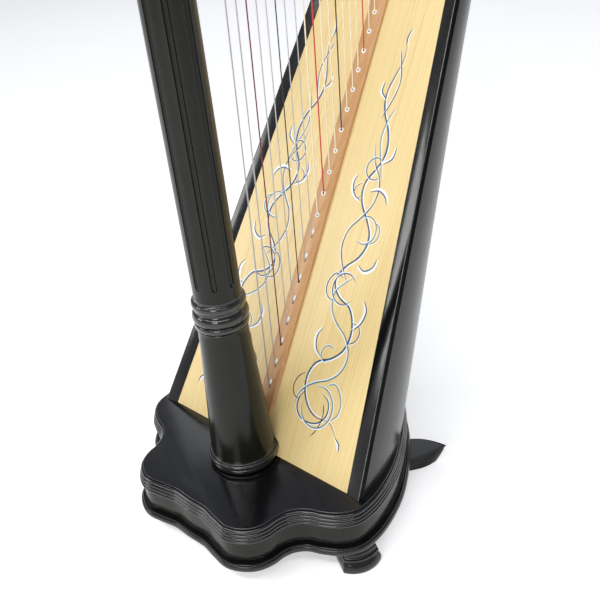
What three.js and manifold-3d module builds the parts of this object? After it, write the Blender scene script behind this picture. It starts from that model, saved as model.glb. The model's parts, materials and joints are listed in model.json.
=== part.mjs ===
// Concert harp with sharping levers, 40 strings (A1 to E7), free-standing on four feet.
// Units: millimetres.  +Z up, -Y the front (column side), +Y the player's side,
// +X the player's left, which is the side the strings and levers are on.
// The string plane is X = 0.  Construction frame: y = 0, z = 0 is the line where the
// soundboard meets the top of the base; the finished group is moved so that its
// origin is the bottom centre of its bounding box, on the floor.
import * as THREE from 'three';
import { mergeVertices } from 'three/addons/utils/BufferGeometryUtils.js';
import Module from 'manifold-3d';

const wasm = await Module();
wasm.setup();

// ---------------------------------------------------------------- driving dimensions
const GAP = 0.35;                 // clearance between neighbouring pieces
const ALPHA = 30.7 * Math.PI / 180; // soundboard's slope from the vertical
const BOARD_T1 = 1210;            // soundboard length along its slope
const BOARD_W0 = 172.0;           // half width of the light board at its bottom edge
const BOARD_TAPER = 0.1053;       // half width lost per mm of length
const STRIP_W0 = 23.0;            // width of the dark border strip at the bottom
const STRIP_TAPER = 0.0065;       // strip width lost per mm of length
const BOARD_TH = 5.0;             // soundboard thickness
const SHELL_TH = 7.0;             // soundbox shell thickness
const RIB_HALF = 14.6;            // string rib, half width
const RIB_H = 5.0;                // string rib height over the board
const GROOVE_HALF = 1.7;          // groove in the rib that the string anchors sit in
const BASE_TOP_TH = 23.0;
const BASE_WALL_BOT = -53.0;
const BASE_FLOOR_BOT = -71.0;
const FLOOR_Z = -105.0;           // underside of the feet
const FLANGE_OUT = 12.8;          // how far the bottom flange stands out of the top face's edge
const WALL_OUT = 4.0;             // how far the wall stands out of the top face's edge
const WALL_TH = 15.0;
const COL_Y0 = -22.0;             // column axis at the top of the base
const COL_LEAN = 1.74 * Math.PI / 180; // column leans forward
const COL_TOP = 1366;             // column length to the underside of the capital
const CAP_R = 49.0;               // capital radius beside the neck
const CAP_TOP = 1612;             // top of the capital's dome, along the column axis
const NECK_X0 = -48.0;            // neck, player's right face
const NECK_X1 = -10.0;            // neck, player's left face
const N_STRINGS = 40;

// string positions along the board, from the bass
const STRING_T = [90.8, 122.6, 154.9, 186.7, 218.6, 250.6, 282.4, 318.2, 350.2, 381.9, 413.0, 443.7,
  473.7, 503.0, 531.4, 559.0, 586.2, 613.2, 640.0];
while (STRING_T.length < N_STRINGS) {
  const k = STRING_T.length - 19;
  STRING_T.push(STRING_T[STRING_T.length - 1] + 26.7 - 0.165 * k);
}
// speaking lengths at some strings, the rest interpolated
const LEN_KEYS = [[1, 1385], [3, 1372], [5, 1335], [8, 1235], [10, 1145], [12, 1035], [15, 850], [17, 735],
  [19, 630], [22, 480], [24, 400], [26, 332], [29, 248], [31, 204], [33, 166], [36, 122], [38, 98], [40, 78]];
function pchip(keys, x) {
  const n = keys.length;
  const h = [], d = [];
  for (let i = 0; i < n - 1; i++) { h.push(keys[i + 1][0] - keys[i][0]); d.push((keys[i + 1][1] - keys[i][1]) / h[i]); }
  const m = new Array(n).fill(0);
  m[0] = d[0]; m[n - 1] = d[n - 2];
  for (let i = 1; i < n - 1; i++) {
    if (d[i - 1] * d[i] > 0) {
      const w1 = 2 * h[i] + h[i - 1], w2 = h[i] + 2 * h[i - 1];
      m[i] = (w1 + w2) / (w1 / d[i - 1] + w2 / d[i]);
    }
  }
  let i = 0;
  while (i < n - 2 && x > keys[i + 1][0]) i++;
  const t = (x - keys[i][0]) / h[i], t2 = t * t, t3 = t2 * t;
  return (2 * t3 - 3 * t2 + 1) * keys[i][1] + (t3 - 2 * t2 + t) * h[i] * m[i]
    + (-2 * t3 + 3 * t2) * keys[i + 1][1] + (t3 - t2) * h[i] * m[i + 1];
}
const sinA = Math.sin(ALPHA), cosA = Math.cos(ALPHA);
// board coordinates (x, t along the slope, n out of the front face) to the construction frame
const bp = (x, t, n) => new THREE.Vector3(x, t * sinA - n * cosA, t * cosA + n * sinA);
const halfW = (t) => BOARD_W0 - BOARD_TAPER * t;
const stripW = (t) => STRIP_W0 - STRIP_TAPER * t;
const outW = (t) => halfW(t) + stripW(t);
const DEPTH_KEYS = [[0, 246], [150, 217], [400, 164], [667, 119], [950, 88], [1260, 70]];
const shellDepth = (t) => pchip(DEPTH_KEYS, Math.min(1260, Math.max(0, t)));

const strings = [];
for (let i = 1; i <= N_STRINGS; i++) {
  const t = STRING_T[i - 1];
  const len = pchip(LEN_KEYS, i);
  const p = bp(0, t, RIB_H);
  strings.push({ i, t, len, y: p.y, z0: p.z, zp: p.z + len, r: i <= 8 ? 0.9 - 0.04 * (i - 1) : 0.72 - 0.012 * (i - 8) });
}
for (let k = 0; k < N_STRINGS; k++) {
  const a = strings[Math.max(0, k - 1)], b = strings[Math.min(N_STRINGS - 1, k + 1)];
  strings[k].s = (b.y - a.y) / (k === 0 || k === N_STRINGS - 1 ? 1 : 2);
}

// ---------------------------------------------------------------- helpers
function solid(geometry) {
  let g = geometry.clone();
  g.deleteAttribute('normal'); g.deleteAttribute('uv');
  g = mergeVertices(g, 1e-4);
  return new wasm.Manifold(new wasm.Mesh({ numProp: 3,
    vertProperties: new Float32Array(g.attributes.position.array), triVerts: new Uint32Array(g.index.array) }));
}
function geom(man) {
  const m = man.getMesh();
  const g = new THREE.BufferGeometry();
  const np = m.numProp, pos = new Float32Array(m.vertProperties.length / np * 3);
  for (let i = 0; i < pos.length / 3; i++) for (let k = 0; k < 3; k++) pos[3 * i + k] = m.vertProperties[np * i + k];
  g.setAttribute('position', new THREE.BufferAttribute(pos, 3));
  g.setIndex(new THREE.BufferAttribute(new Uint32Array(m.triVerts), 1));
  g.computeVertexNormals();
  return g;
}
// closed tube through a grid of rings: rings[j][i], all rings closed loops of equal length, capped at both ends
function loft(rings, capped = true) {
  const n = rings[0].length, m = rings.length, pos = [], idx = [];
  for (const r of rings) for (const v of r) pos.push(v.x, v.y, v.z);
  for (let j = 0; j < m - 1; j++) for (let i = 0; i < n; i++) {
    const a = j * n + i, b = j * n + (i + 1) % n, c = a + n, d = b + n;
    idx.push(a, b, d, a, d, c);
  }
  if (capped) {
    const cap = (j, flip) => {
      const r = rings[j];
      const o = r[0], e1 = new THREE.Vector3().subVectors(r[1], r[0]).normalize();
      let nrm = new THREE.Vector3();
      for (let i = 0; i < n; i++) nrm.add(new THREE.Vector3().crossVectors(new THREE.Vector3().subVectors(r[i], o), new THREE.Vector3().subVectors(r[(i + 1) % n], o)));
      nrm.normalize();
      const e2 = new THREE.Vector3().crossVectors(nrm, e1);
      const pts = r.map((v) => { const d = new THREE.Vector3().subVectors(v, o); return new THREE.Vector2(d.dot(e1), d.dot(e2)); });
      for (const [a, b, c] of THREE.ShapeUtils.triangulateShape(pts, [])) {
        if (flip) idx.push(j * n + a, j * n + c, j * n + b); else idx.push(j * n + a, j * n + b, j * n + c);
      }
    };
    cap(0, true); cap(m - 1, false);
  } else {
    for (let i = 0; i < n; i++) {
      const a = (m - 1) * n + i, b = (m - 1) * n + (i + 1) % n, c = i, d = (i + 1) % n;
      idx.push(a, b, d, a, d, c);
    }
  }
  const g = new THREE.BufferGeometry();
  g.setAttribute('position', new THREE.BufferAttribute(new Float32Array(pos), 3));
  g.setIndex(idx);
  let man = solid(g);
  if (man.volume() < 0) {
    for (let i = 0; i < idx.length; i += 3) { const t = idx[i + 1]; idx[i + 1] = idx[i + 2]; idx[i + 2] = t; }
    g.setIndex(idx);
    man = solid(g);
  }
  return geom(man);
}
// prism with its outline in the (y, z) plane, between two x values
function prismYZ(pts, x0, x1) {
  return loft([pts.map(([y, z]) => new THREE.Vector3(x0, y, z)), pts.map(([y, z]) => new THREE.Vector3(x1, y, z))]);
}
// prism with its outline in the (x, y) plane, between stacked levels [[z, outline], ...]
function stackXY(levels) {
  return loft(levels.map(([z, pts]) => pts.map(([x, y]) => new THREE.Vector3(x, y, z))));
}
const mats = {
  lacquer: { color: 0x0d0d0f, roughness: 0.32, metalness: 0.0 },
  spruce: { color: 0xe9d3a0, roughness: 0.55, metalness: 0.0 },
  rib_wood: { color: 0xb98a5c, roughness: 0.5, metalness: 0.0 },
  liner_wood: { color: 0xcaa274, roughness: 0.6, metalness: 0.0 },
  wire: { color: 0xb9bcc0, roughness: 0.3, metalness: 1.0 },
  gut: { color: 0xe8dcc0, roughness: 0.45, metalness: 0.0 },
  nylon: { color: 0xf2f2ee, roughness: 0.25, metalness: 0.0 },
  lever_metal: { color: 0xc9a24a, roughness: 0.28, metalness: 1.0 },
  foot_rubber: { color: 0x1a1a1a, roughness: 0.8, metalness: 0.0 },
};
const build = new THREE.Group();
function add(name, geometry, mat) {
  const m = new THREE.Mesh(geometry, new THREE.MeshStandardMaterial(mats[mat]));
  m.name = name;
  build.add(m);
  return m;
}

// ---------------------------------------------------------------- base
// right half of the top face's outline, front to back
const HALF = [[0, -133.2], [30.2, -132.6], [56.3, -137.4], [79.8, -140.2], [97.4, -133.2], [109.8, -122.5], [117.4, -106.5],
  [120.5, -87.2], [128.4, -69.3], [143.9, -54.1], [164.8, -45.1], [184.7, -33.4], [199.3, -14.8], [202.7, 9.5], [200.8, 34.2],
  [195.1, 62.4], [186.4, 90.5], [173.3, 119.7], [157.3, 148.7], [138.2, 178.8], [117.1, 207.9], [93, 235], [64.9, 261.1],
  [33.6, 281.3], [0, 288.5]];
const curve = new THREE.CatmullRomCurve3(
  [...HALF, ...HALF.slice(1, -1).reverse().map(([x, y]) => [-x, y])].map(([x, y]) => new THREE.Vector3(x, y, 0)), true, 'centripetal');
function outline(off, n) {
  const pts = curve.getSpacedPoints(n).slice(0, n), out = [];
  for (let i = 0; i < n; i++) {
    const a = pts[(i + n - 1) % n], b = pts[(i + 1) % n];
    const dx = b.x - a.x, dy = b.y - a.y, l = Math.hypot(dx, dy);
    out.push([pts[i].x + off * dy / l, pts[i].y - off * dx / l]);
  }
  return out;
}
const NB = 72;
add('base_top', stackXY([[-BASE_TOP_TH, outline(3.5, NB)], [-20, outline(7, NB)], [-12, outline(6, NB)], [-4, outline(2.5, NB)], [0, outline(0, NB)]]), 'lacquer');
{
  const zt = -BASE_TOP_TH - GAP, zb = BASE_WALL_BOT + GAP;
  const wallOut = solid(stackXY([[zb, outline(WALL_OUT, NB)], [zt, outline(WALL_OUT, NB)]]));
  const wallIn = solid(stackXY([[zb - 1, outline(WALL_OUT - WALL_TH, 48)], [zt + 1, outline(WALL_OUT - WALL_TH, 48)]]));
  add('base_wall', geom(wallOut.subtract(wallIn)), 'lacquer');
}
add('base_flange', stackXY([[BASE_FLOOR_BOT, outline(FLANGE_OUT - 4, NB)], [BASE_FLOOR_BOT + 5, outline(FLANGE_OUT, NB)],
  [BASE_FLOOR_BOT + 11, outline(FLANGE_OUT - 3.5, NB)], [BASE_WALL_BOT, outline(5, NB)]]), 'lacquer');

// feet: the front pair are bars with a bowed, flared end, the rear pair are pointed leaves
function footBar(cx, cy, ang, half, bow, back, inset) {
  const pts = [];
  const c = Math.cos(ang), s = Math.sin(ang);
  const put = (u, v) => pts.push([cx + u * c - v * s, cy + u * s + v * c]);
  put(-back, -half);
  for (let k = 0; k <= 10; k++) {
    const v = half * (-1 + k / 5);
    put(Math.sqrt(bow * bow - v * v) - inset, v);
  }
  put(-back, half);
  return pts;
}
const FOOT_TOP = BASE_FLOOR_BOT - GAP;
function shrink(pts, f) {
  const cx = pts.reduce((a, p) => a + p[0], 0) / pts.length, cy = pts.reduce((a, p) => a + p[1], 0) / pts.length;
  return pts.map(([x, y]) => [cx + (x - cx) * f, cy + (y - cy) * f]);
}
const leafPts = [[112, 118], [135, 138], [149.8, 156.8], [160.2, 171.4], [167.5, 185.2], [174.3, 202.8], [181.2, 220.7], [184.4, 233.1],
  [166.1, 230.1], [150.6, 225.1], [137, 217.1], [122, 203], [108, 184], [98, 160]];
for (const [side, sx] of [['left', 1], ['right', -1]]) {
  const bar = (inset) => footBar(179, -1, -31 * Math.PI / 180, 27.3, 41.8, 50, inset).map(([x, y]) => [x * sx, y]);
  add('foot_front_' + side, stackXY([[FLOOR_Z, bar(0)], [FLOOR_Z + 7, bar(0)], [FLOOR_Z + 16, bar(4)], [FLOOR_Z + 24, bar(8.8)], [FOOT_TOP, bar(9.5)]]), 'lacquer');
}
for (const [side, sx] of [['left', 1], ['right', -1]]) {
  const p = leafPts.map(([x, y]) => [x * sx, y]);
  add('foot_rear_' + side, stackXY([[FLOOR_Z, shrink(p, 0.84)], [FLOOR_Z + 12, shrink(p, 0.89)], [FOOT_TOP - 3, p], [FOOT_TOP, p]]), 'lacquer');
}

// ---------------------------------------------------------------- column (leaning group)
const lean = new THREE.Matrix4().makeTranslation(0, COL_Y0, 0).multiply(new THREE.Matrix4().makeRotationX(COL_LEAN));
function lathe(profile, seg) {
  const g = new THREE.LatheGeometry(profile.map(([r, z]) => new THREE.Vector2(r, z)), seg);
  g.rotateX(Math.PI / 2);
  return g;
}
const baseClear = 3.2; // the leaning foot ring stays clear of the flat base
const COLUMN = [[0, baseClear], [46, baseClear], [49.2, 4.4], [49.2, 9], [51.2, 11.5], [51.2, 15.5], [48, 18.6], [46, 20.5], [45.1, 34], [42.4, 74], [39.7, 114],
  [37.1, 154], [34.9, 192], [33.8, 216], [33.7, 227], [35.8, 231], [36, 236], [34.4, 239.5], [37.4, 242.5], [37.6, 246], [35.5, 252], [33, 256.5],
  [33, 259.5], [35.2, 262.5], [35.2, 269], [32, 272.5], [31.2, 290], [30.4, 700], [29.6, 1290], [31.5, 1300], [34, 1306], [31.5, 1312], [30, 1320],
  [33, 1345], [39, COL_TOP - GAP], [0, COL_TOP - GAP]];
{
  const g = lathe(COLUMN, 24);
  g.applyMatrix4(lean);
  add('column', geom(solid(g)), 'lacquer');
}
const CAPITAL = [[0, COL_TOP], [42, COL_TOP], [47, COL_TOP + 6], [47, COL_TOP + 12], [43.5, COL_TOP + 17], [44.5, COL_TOP + 24], [CAP_R - 1, COL_TOP + 60], [CAP_R, 1520],
  [CAP_R + 3, 1530], [CAP_R + 3.5, 1540], [CAP_R, 1548], [43, 1556], [38, 1572], [30, 1590], [16, 1605], [0, CAP_TOP]];
let capital;
{
  const g = lathe(CAPITAL, 28);
  g.applyMatrix4(lean);
  capital = solid(g);
  add('column_capital', geom(capital), 'lacquer');
}

// ---------------------------------------------------------------- neck
const pinAt = (k) => strings[k - 1];
const lower = [], upper = [];
for (const k of [1, 3, 5, 7, 9, 11, 13, 15, 17, 19, 21, 23, 25, 28, 31, 34, 37, 40]) {
  const s = pinAt(k);
  lower.push([s.y, s.zp - Math.max(0.0561 * s.len, 5) - 17]);
}
// the upper edge runs over the tuning pins
for (const k of [1, 3, 5, 7, 9, 11, 13, 15, 17, 19, 21, 23, 25, 28, 31, 34, 37, 40]) {
  const a = strings[Math.max(0, k - 2)], b = strings[Math.min(N_STRINGS - 1, k)];
  const s = pinAt(k);
  const dy = b.y - a.y, dz = b.zp - a.zp, l = Math.hypot(dy, dz);
  const off = 74 - 0.35 * k;
  upper.push([s.y - off * dz / l, s.zp + off * dy / l]);
}
const NECK = [];
NECK.push([-86, lower[0][1] - 4], [-30, lower[0][1] - 3], [12, lower[0][1] - 1]);
NECK.push(...lower);
NECK.push([608, lower[lower.length - 1][1] + 5], [614, 1066], [690, 1066], [700, 1084], [697, 1108], [682, 1130], [658, 1146], [630, 1153]);
NECK.push(...upper.reverse());
NECK.push([-40, upper[upper.length - 1][1] - 24], [-86, upper[upper.length - 1][1] - 40]);
{
  let n = solid(prismYZ(NECK, NECK_X0, NECK_X1));
  const cutProfile = CAPITAL.map(([r, z]) => [r === 0 ? 0 : r + 0.5, z]);
  cutProfile[0][1] -= 60; cutProfile[1][1] -= 60; cutProfile[cutProfile.length - 1][1] += 60;
  const cut = lathe(cutProfile, 28);
  cut.applyMatrix4(lean);
  n = n.subtract(solid(cut));
  // keep only the part behind the column
  const pieces = n.decompose().sort((a, b) => b.volume() - a.volume());
  add('neck', geom(pieces[0]), 'lacquer');
}

// ---------------------------------------------------------------- soundbox
const T_TOP = BOARD_T1;
function shellRings(inset, nT, nPhi, topT) {
  // fibres phi = 0..pi, each from the base plane to the top
  const fib = [];
  for (let i = 0; i <= nPhi; i++) {
    const phi = Math.PI * i / nPhi;
    let tb = 0;
    for (let k = 0; k < 30; k++) {
      const n = -BOARD_TH - GAP - (shellDepth(tb) - inset) * Math.sin(phi);
      tb = -n * Math.tan(ALPHA) + 0.4 / cosA;
    }
    const col = [];
    for (let j = 0; j <= nT; j++) {
      const t = tb + (topT - tb) * j / nT;
      const ph = phi;
      // fuller than an ellipse near the board, as the bent shell is
      const a = outW(t) - inset, b = shellDepth(t) - inset;
      col.push(bp(a * Math.cos(ph), t, -BOARD_TH - GAP - b * Math.sin(ph)));
    }
    fib.push(col);
  }
  return fib;
}
{
  const nT = 10, nPhi = 22;
  const outer = shellRings(0, nT, nPhi, T_TOP), inner = shellRings(SHELL_TH, nT, nPhi, T_TOP);
  const rings = [];
  for (let j = 0; j <= nT; j++) {
    const r = [];
    for (let i = 0; i <= nPhi; i++) r.push(outer[i][j]);
    for (let i = nPhi; i >= 0; i--) r.push(inner[i][j]);
    rings.push(r);
  }
  let sh = solid(loft(rings));
  // five sound holes down the back
  for (const [t, hx, ht] of [[330, 34, 62], [500, 31, 58], [665, 28, 54], [820, 25, 48], [965, 21, 42]]) {
    const n0 = -BOARD_TH - shellDepth(t) - 30, n1 = n0 + 60;
    const ring = (n) => { const r = []; for (let k = 0; k < 20; k++) { const a = 2 * Math.PI * k / 20; r.push(bp(hx * Math.cos(a), t + ht * Math.sin(a), n)); } return r; };
    sh = sh.subtract(solid(loft([ring(n0), ring(n1)])));
  }
  add('soundbox_shell', geom(sh), 'lacquer');
}
// soundboard, border strips, ribs
function slab(x0, x1, n0, n1, t0, t1, nT = 1) {
  const rings = [];
  for (let j = 0; j <= nT; j++) {
    const f = j / nT;
    // lower end is trimmed to stand on the base plane
    const q = (xf, n) => { const tb = t0 === null ? -n * Math.tan(ALPHA) + 0.4 / cosA : t0; const t = tb + (t1 - tb) * f; return bp(xf(t), t, n); };
    rings.push([q(x0, n0), q(x1, n0), q(x1, n1), q(x0, n1)]);
  }
  return loft(rings);
}
// the column's foot stands into the board's bottom edge, which is notched round it
const columnNotch = (() => {
  const prof = COLUMN.filter(([r]) => r > 0).map(([r, z]) => [r + 0.8, z]);
  const g = lathe([[0, -40], [47, -40], ...prof.slice(0, 25), [0, 420]].filter(([, z], k, a) => k === 0 || k === a.length - 1 || z < 420), 24);
  g.applyMatrix4(lean);
  return solid(g);
})();
add('soundboard', geom(solid(slab((t) => -halfW(t) + 0.2, (t) => halfW(t) - 0.2, -BOARD_TH, 0, null, T_TOP)).subtract(columnNotch)), 'spruce');
add('edge_strip_left', slab((t) => halfW(t) + 0.2, (t) => outW(t), -BOARD_TH, 1.2, null, T_TOP), 'lacquer');
add('edge_strip_right', slab((t) => -outW(t), (t) => -halfW(t) - 0.2, -BOARD_TH, 1.2, null, T_TOP), 'lacquer');
{
  const n0 = GAP, n1 = RIB_H, t0 = 42, t1 = STRING_T[39] + 24, ch = 1.6;
  const prof = [[-RIB_HALF, n0], [RIB_HALF, n0], [RIB_HALF, n1 - ch], [RIB_HALF - ch, n1], [GROOVE_HALF, n1], [GROOVE_HALF, n1 - 3.4],
    [-GROOVE_HALF, n1 - 3.4], [-GROOVE_HALF, n1], [-RIB_HALF + ch, n1], [-RIB_HALF, n1 - ch]];
  const taper = (t) => 1 - 0.12 * (t - t0) / (t1 - t0);
  const ring = (t) => prof.map(([x, n]) => bp(Math.abs(x) > 2 ? x * taper(t) : x, t, n));
  add('string_rib', geom(solid(loft([ring(t0), ring(t1)])).subtract(columnNotch)), 'rib_wood');
}
add('inner_rib', slab(() => -11, () => 11, -BOARD_TH - GAP - 9, -BOARD_TH - GAP, 60, 1190), 'liner_wood');

// shoulder block: closes the top of the soundbox and carries the neck
{
  const t0 = T_TOP + GAP, t1 = T_TOP + 24, nPhi = 14;
  const ring = (t, k) => {
    const r = [];
    const a = outW(t) * k, b = shellDepth(t) * k;
    for (let i = 0; i <= nPhi; i++) { const ph = Math.PI * i / nPhi; r.push(bp(a * Math.cos(ph), t, -BOARD_TH - GAP - b * Math.sin(ph))); }
    r.push(bp(-a, t, 1)); r.push(bp(a, t, 1));
    return r;
  };
  let s = solid(loft([ring(t0, 1), ring(t0 + 12, 1), ring(t1, 0.93)]));
  const horn = prismYZ([[632, 1040], [618, 1052], [614.5, 1066 - GAP], [690, 1066 - GAP], [697, 1046], [694, 1030], [684, 1014]], NECK_X0, NECK_X1);
  s = s.add(solid(horn));
  // a plug inside the shell ties the block to it
  const plug = ring2(T_TOP - 26, T_TOP + 2);
  s = s.add(plug);
  add('shoulder_block', geom(s), 'lacquer');
}
function ring2(t0, t1) {
  const nPhi = 10;
  const ring = (t) => {
    const r = [];
    const a = outW(t) - SHELL_TH - 1.2, b = shellDepth(t) - SHELL_TH - 1.2;
    for (let i = 0; i <= nPhi; i++) { const ph = 0.16 + (Math.PI - 0.32) * i / nPhi; r.push(bp(a * Math.cos(ph), t, -BOARD_TH - GAP - b * Math.sin(ph))); }
    return r;
  };
  return solid(loft([ring(t0), ring(t1)]));
}

// ---------------------------------------------------------------- strings
// each group is one comb: vertical strings on an anchor rail that lies in the rib's groove
function stringGroup(name, i0, i1, mat) {
  const a = strings[i0 - 1], b = strings[i1 - 1];
  const ta = a.t - 9, tb = b.t + 9;
  const rw = GROOVE_HALF - GAP;
  let man = solid(slab(() => -rw, () => rw, RIB_H - 3.4 + GAP, RIB_H - 0.6, ta, tb));
  for (let i = i0; i <= i1; i++) {
    const s = strings[i - 1], r = s.r;
    const z0 = s.z0 - 1.6, z1 = s.zp;
    const ring = (z) => [[r, 0], [0, r], [-r, 0], [0, -r]].map(([x, y]) => new THREE.Vector3(x, s.y + y, z));
    man = man.add(solid(loft([ring(z0), ring(z1)])));
  }
  add(name, geom(man), mat);
}
stringGroup('bass_wire_strings', 1, 8, 'wire');
stringGroup('gut_strings', 9, 28, 'gut');
stringGroup('nylon_strings', 29, 40, 'nylon');

// ---------------------------------------------------------------- sharping levers
const NOTES = ['A', 'B', 'C', 'D', 'E', 'F', 'G'];
const OCT = (i) => 1 + Math.floor((i + 4) / 7); // octave number changes at C
export const levers = [];
for (const s of strings) {
  const rh = Math.min(3.0, 0.17 * s.s), L = 0.76 * s.s, py = s.y + s.s / 2, pz = s.zp - Math.max(0.0561 * s.len, 5);
  const hub = new THREE.CylinderGeometry(rh, rh, 14.0, 6);
  hub.rotateZ(Math.PI / 2); hub.translate(-2.6, 0, 0);
  // handle: a tapered finger tab pointing at the player at rest
  const w = Math.min(2.1, 0.13 * s.s);
  const tab = prismYZ([[0, -w * 1.1], [L * 0.86, -w * 0.9], [L, -w * 0.4], [L, w * 0.4], [L * 0.86, w * 0.9], [0, w * 1.1]], 2.4, 4.3);
  // cam: points up at rest, and reaches towards its string when the lever is raised
  const c = s.s / 2 - s.r - 0.45;
  const cam = prismYZ([[-rh * 0.8, 0], [rh * 0.8, 0], [rh * 0.3, c], [-rh * 0.7, c]], -1.3, 1.3);
  const man = solid(hub).add(solid(tab)).add(solid(cam));
  const name = 'lever_' + NOTES[(s.i - 1) % 7] + OCT(s.i);
  const m = add(name, geom(man), 'lever_metal');
  m.position.set(0, py, pz);
  levers.push({ name, y: py, z: pz, i: s.i });
}

// ---------------------------------------------------------------- place on the floor, bottom centre at the origin
build.updateMatrixWorld(true);
const bb = new THREE.Box3().setFromObject(build, true);
export const offset = [0, -(bb.min.y + bb.max.y) / 2, -bb.min.z];
const group = new THREE.Group();
build.position.set(-(bb.min.x + bb.max.x) / 2, offset[1], offset[2]);
group.add(build);
group.updateMatrixWorld(true);
export { strings, group as harp };
export default group;
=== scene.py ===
import bpy, bmesh, math, json
import numpy as np
from mathutils import Vector, Matrix


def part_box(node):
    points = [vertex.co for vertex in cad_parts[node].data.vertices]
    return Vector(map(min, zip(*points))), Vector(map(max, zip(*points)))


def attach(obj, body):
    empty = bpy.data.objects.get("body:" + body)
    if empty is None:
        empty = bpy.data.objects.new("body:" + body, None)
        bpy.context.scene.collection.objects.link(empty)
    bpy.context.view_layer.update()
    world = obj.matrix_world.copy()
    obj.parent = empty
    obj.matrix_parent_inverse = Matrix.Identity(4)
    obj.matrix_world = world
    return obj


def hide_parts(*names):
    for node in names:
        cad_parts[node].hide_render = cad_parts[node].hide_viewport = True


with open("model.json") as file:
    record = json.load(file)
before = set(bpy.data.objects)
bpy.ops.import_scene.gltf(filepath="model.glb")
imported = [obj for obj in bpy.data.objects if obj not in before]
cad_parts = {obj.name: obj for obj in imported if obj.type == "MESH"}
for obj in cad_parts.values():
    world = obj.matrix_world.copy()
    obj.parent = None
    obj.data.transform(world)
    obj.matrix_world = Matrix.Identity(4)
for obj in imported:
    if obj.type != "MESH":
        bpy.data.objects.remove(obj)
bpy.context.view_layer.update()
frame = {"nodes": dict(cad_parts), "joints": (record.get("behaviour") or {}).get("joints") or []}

rng = np.random.default_rng(7)
NODES = frame["nodes"]
ROOT = "harp_frame"

# ---------------------------------------------------------------- shared dimensions (mm, construction frame)
ALPHA = math.radians(30.7)
SA, CA = math.sin(ALPHA), math.cos(ALPHA)
BOARD_T1 = 1210.0
LEAN = math.radians(1.74)
COL_Y0 = -22.0
STRING_T = [90.8, 122.6, 154.9, 186.7, 218.6, 250.6, 282.4, 318.2, 350.2, 381.9, 413.0, 443.7,
            473.7, 503.0, 531.4, 559.0, 586.2, 613.2, 640.0]
while len(STRING_T) < 40:
    k = len(STRING_T) - 19
    STRING_T.append(STRING_T[-1] + 26.7 - 0.165 * k)
LEN_KEYS = [[1, 1385], [3, 1372], [5, 1335], [8, 1235], [10, 1145], [12, 1035], [15, 850], [17, 735],
            [19, 630], [22, 480], [24, 400], [26, 332], [29, 248], [31, 204], [33, 166], [36, 122], [38, 98], [40, 78]]
DEPTH_KEYS = [[0, 246], [150, 217], [400, 164], [667, 119], [950, 88], [1260, 70]]
RIB_H = 5.0


def pchip(keys, x):
    n = len(keys)
    h = [keys[i + 1][0] - keys[i][0] for i in range(n - 1)]
    d = [(keys[i + 1][1] - keys[i][1]) / h[i] for i in range(n - 1)]
    m = [0.0] * n
    m[0], m[-1] = d[0], d[-1]
    for i in range(1, n - 1):
        if d[i - 1] * d[i] > 0:
            w1, w2 = 2 * h[i] + h[i - 1], h[i] + 2 * h[i - 1]
            m[i] = (w1 + w2) / (w1 / d[i - 1] + w2 / d[i])
    i = 0
    while i < n - 2 and x > keys[i + 1][0]:
        i += 1
    t = (x - keys[i][0]) / h[i]
    t2, t3 = t * t, t * t * t
    return ((2 * t3 - 3 * t2 + 1) * keys[i][1] + (t3 - 2 * t2 + t) * h[i] * m[i]
            + (-2 * t3 + 3 * t2) * keys[i + 1][1] + (t3 - t2) * h[i] * m[i + 1])


def half_w(t):
    return 172.0 - 0.1053 * t


def strip_w(t):
    return 23.0 - 0.0065 * t


def out_w(t):
    return half_w(t) + strip_w(t)


def depth(t):
    return pchip(DEPTH_KEYS, min(1260.0, max(0.0, t)))


def bp(x, t, n):
    """board coordinates: across, up the slope, out of the front face"""
    return (x, t * SA - n * CA, t * CA + n * SA)


STR = []
for i in range(1, 41):
    t = STRING_T[i - 1]
    ln = pchip(LEN_KEYS, i)
    p = bp(0, t, RIB_H)
    STR.append(dict(i=i, t=t, len=ln, y=p[1], z0=p[2], zp=p[2] + ln,
                    r=(0.92 - 0.035 * (i - 1)) if i <= 8 else 0.98 - 0.60 * ((i - 9) / 31.0) ** 0.85))
for k in range(40):
    a, b = STR[max(0, k - 1)], STR[min(39, k + 1)]
    STR[k]["s"] = (b["y"] - a["y"]) / (1 if k in (0, 39) else 2)
    STR[k]["zf"] = STR[k]["zp"] - max(0.0561 * STR[k]["len"], 5)

J0 = [j for j in frame["joints"] if j["name"] == "lever_A1_turn"][0]
OFF_Y = J0["pos_m"][1] * 1000.0 - (STR[0]["y"] + STR[0]["s"] / 2)
OFF_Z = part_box("base_top")[1].z * 1000.0


def W(p):
    return (p[0] / 1000.0, (p[1] + OFF_Y) / 1000.0, (p[2] + OFF_Z) / 1000.0)


# ---------------------------------------------------------------- node helpers
def new_mat(name):
    m = bpy.data.materials.new(name)
    m.use_nodes = True
    nt = m.node_tree
    nt.nodes.clear()
    out = nt.nodes.new("ShaderNodeOutputMaterial")
    b = nt.nodes.new("ShaderNodeBsdfPrincipled")
    nt.links.new(b.outputs[0], out.inputs[0])
    return m, nt, b


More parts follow.
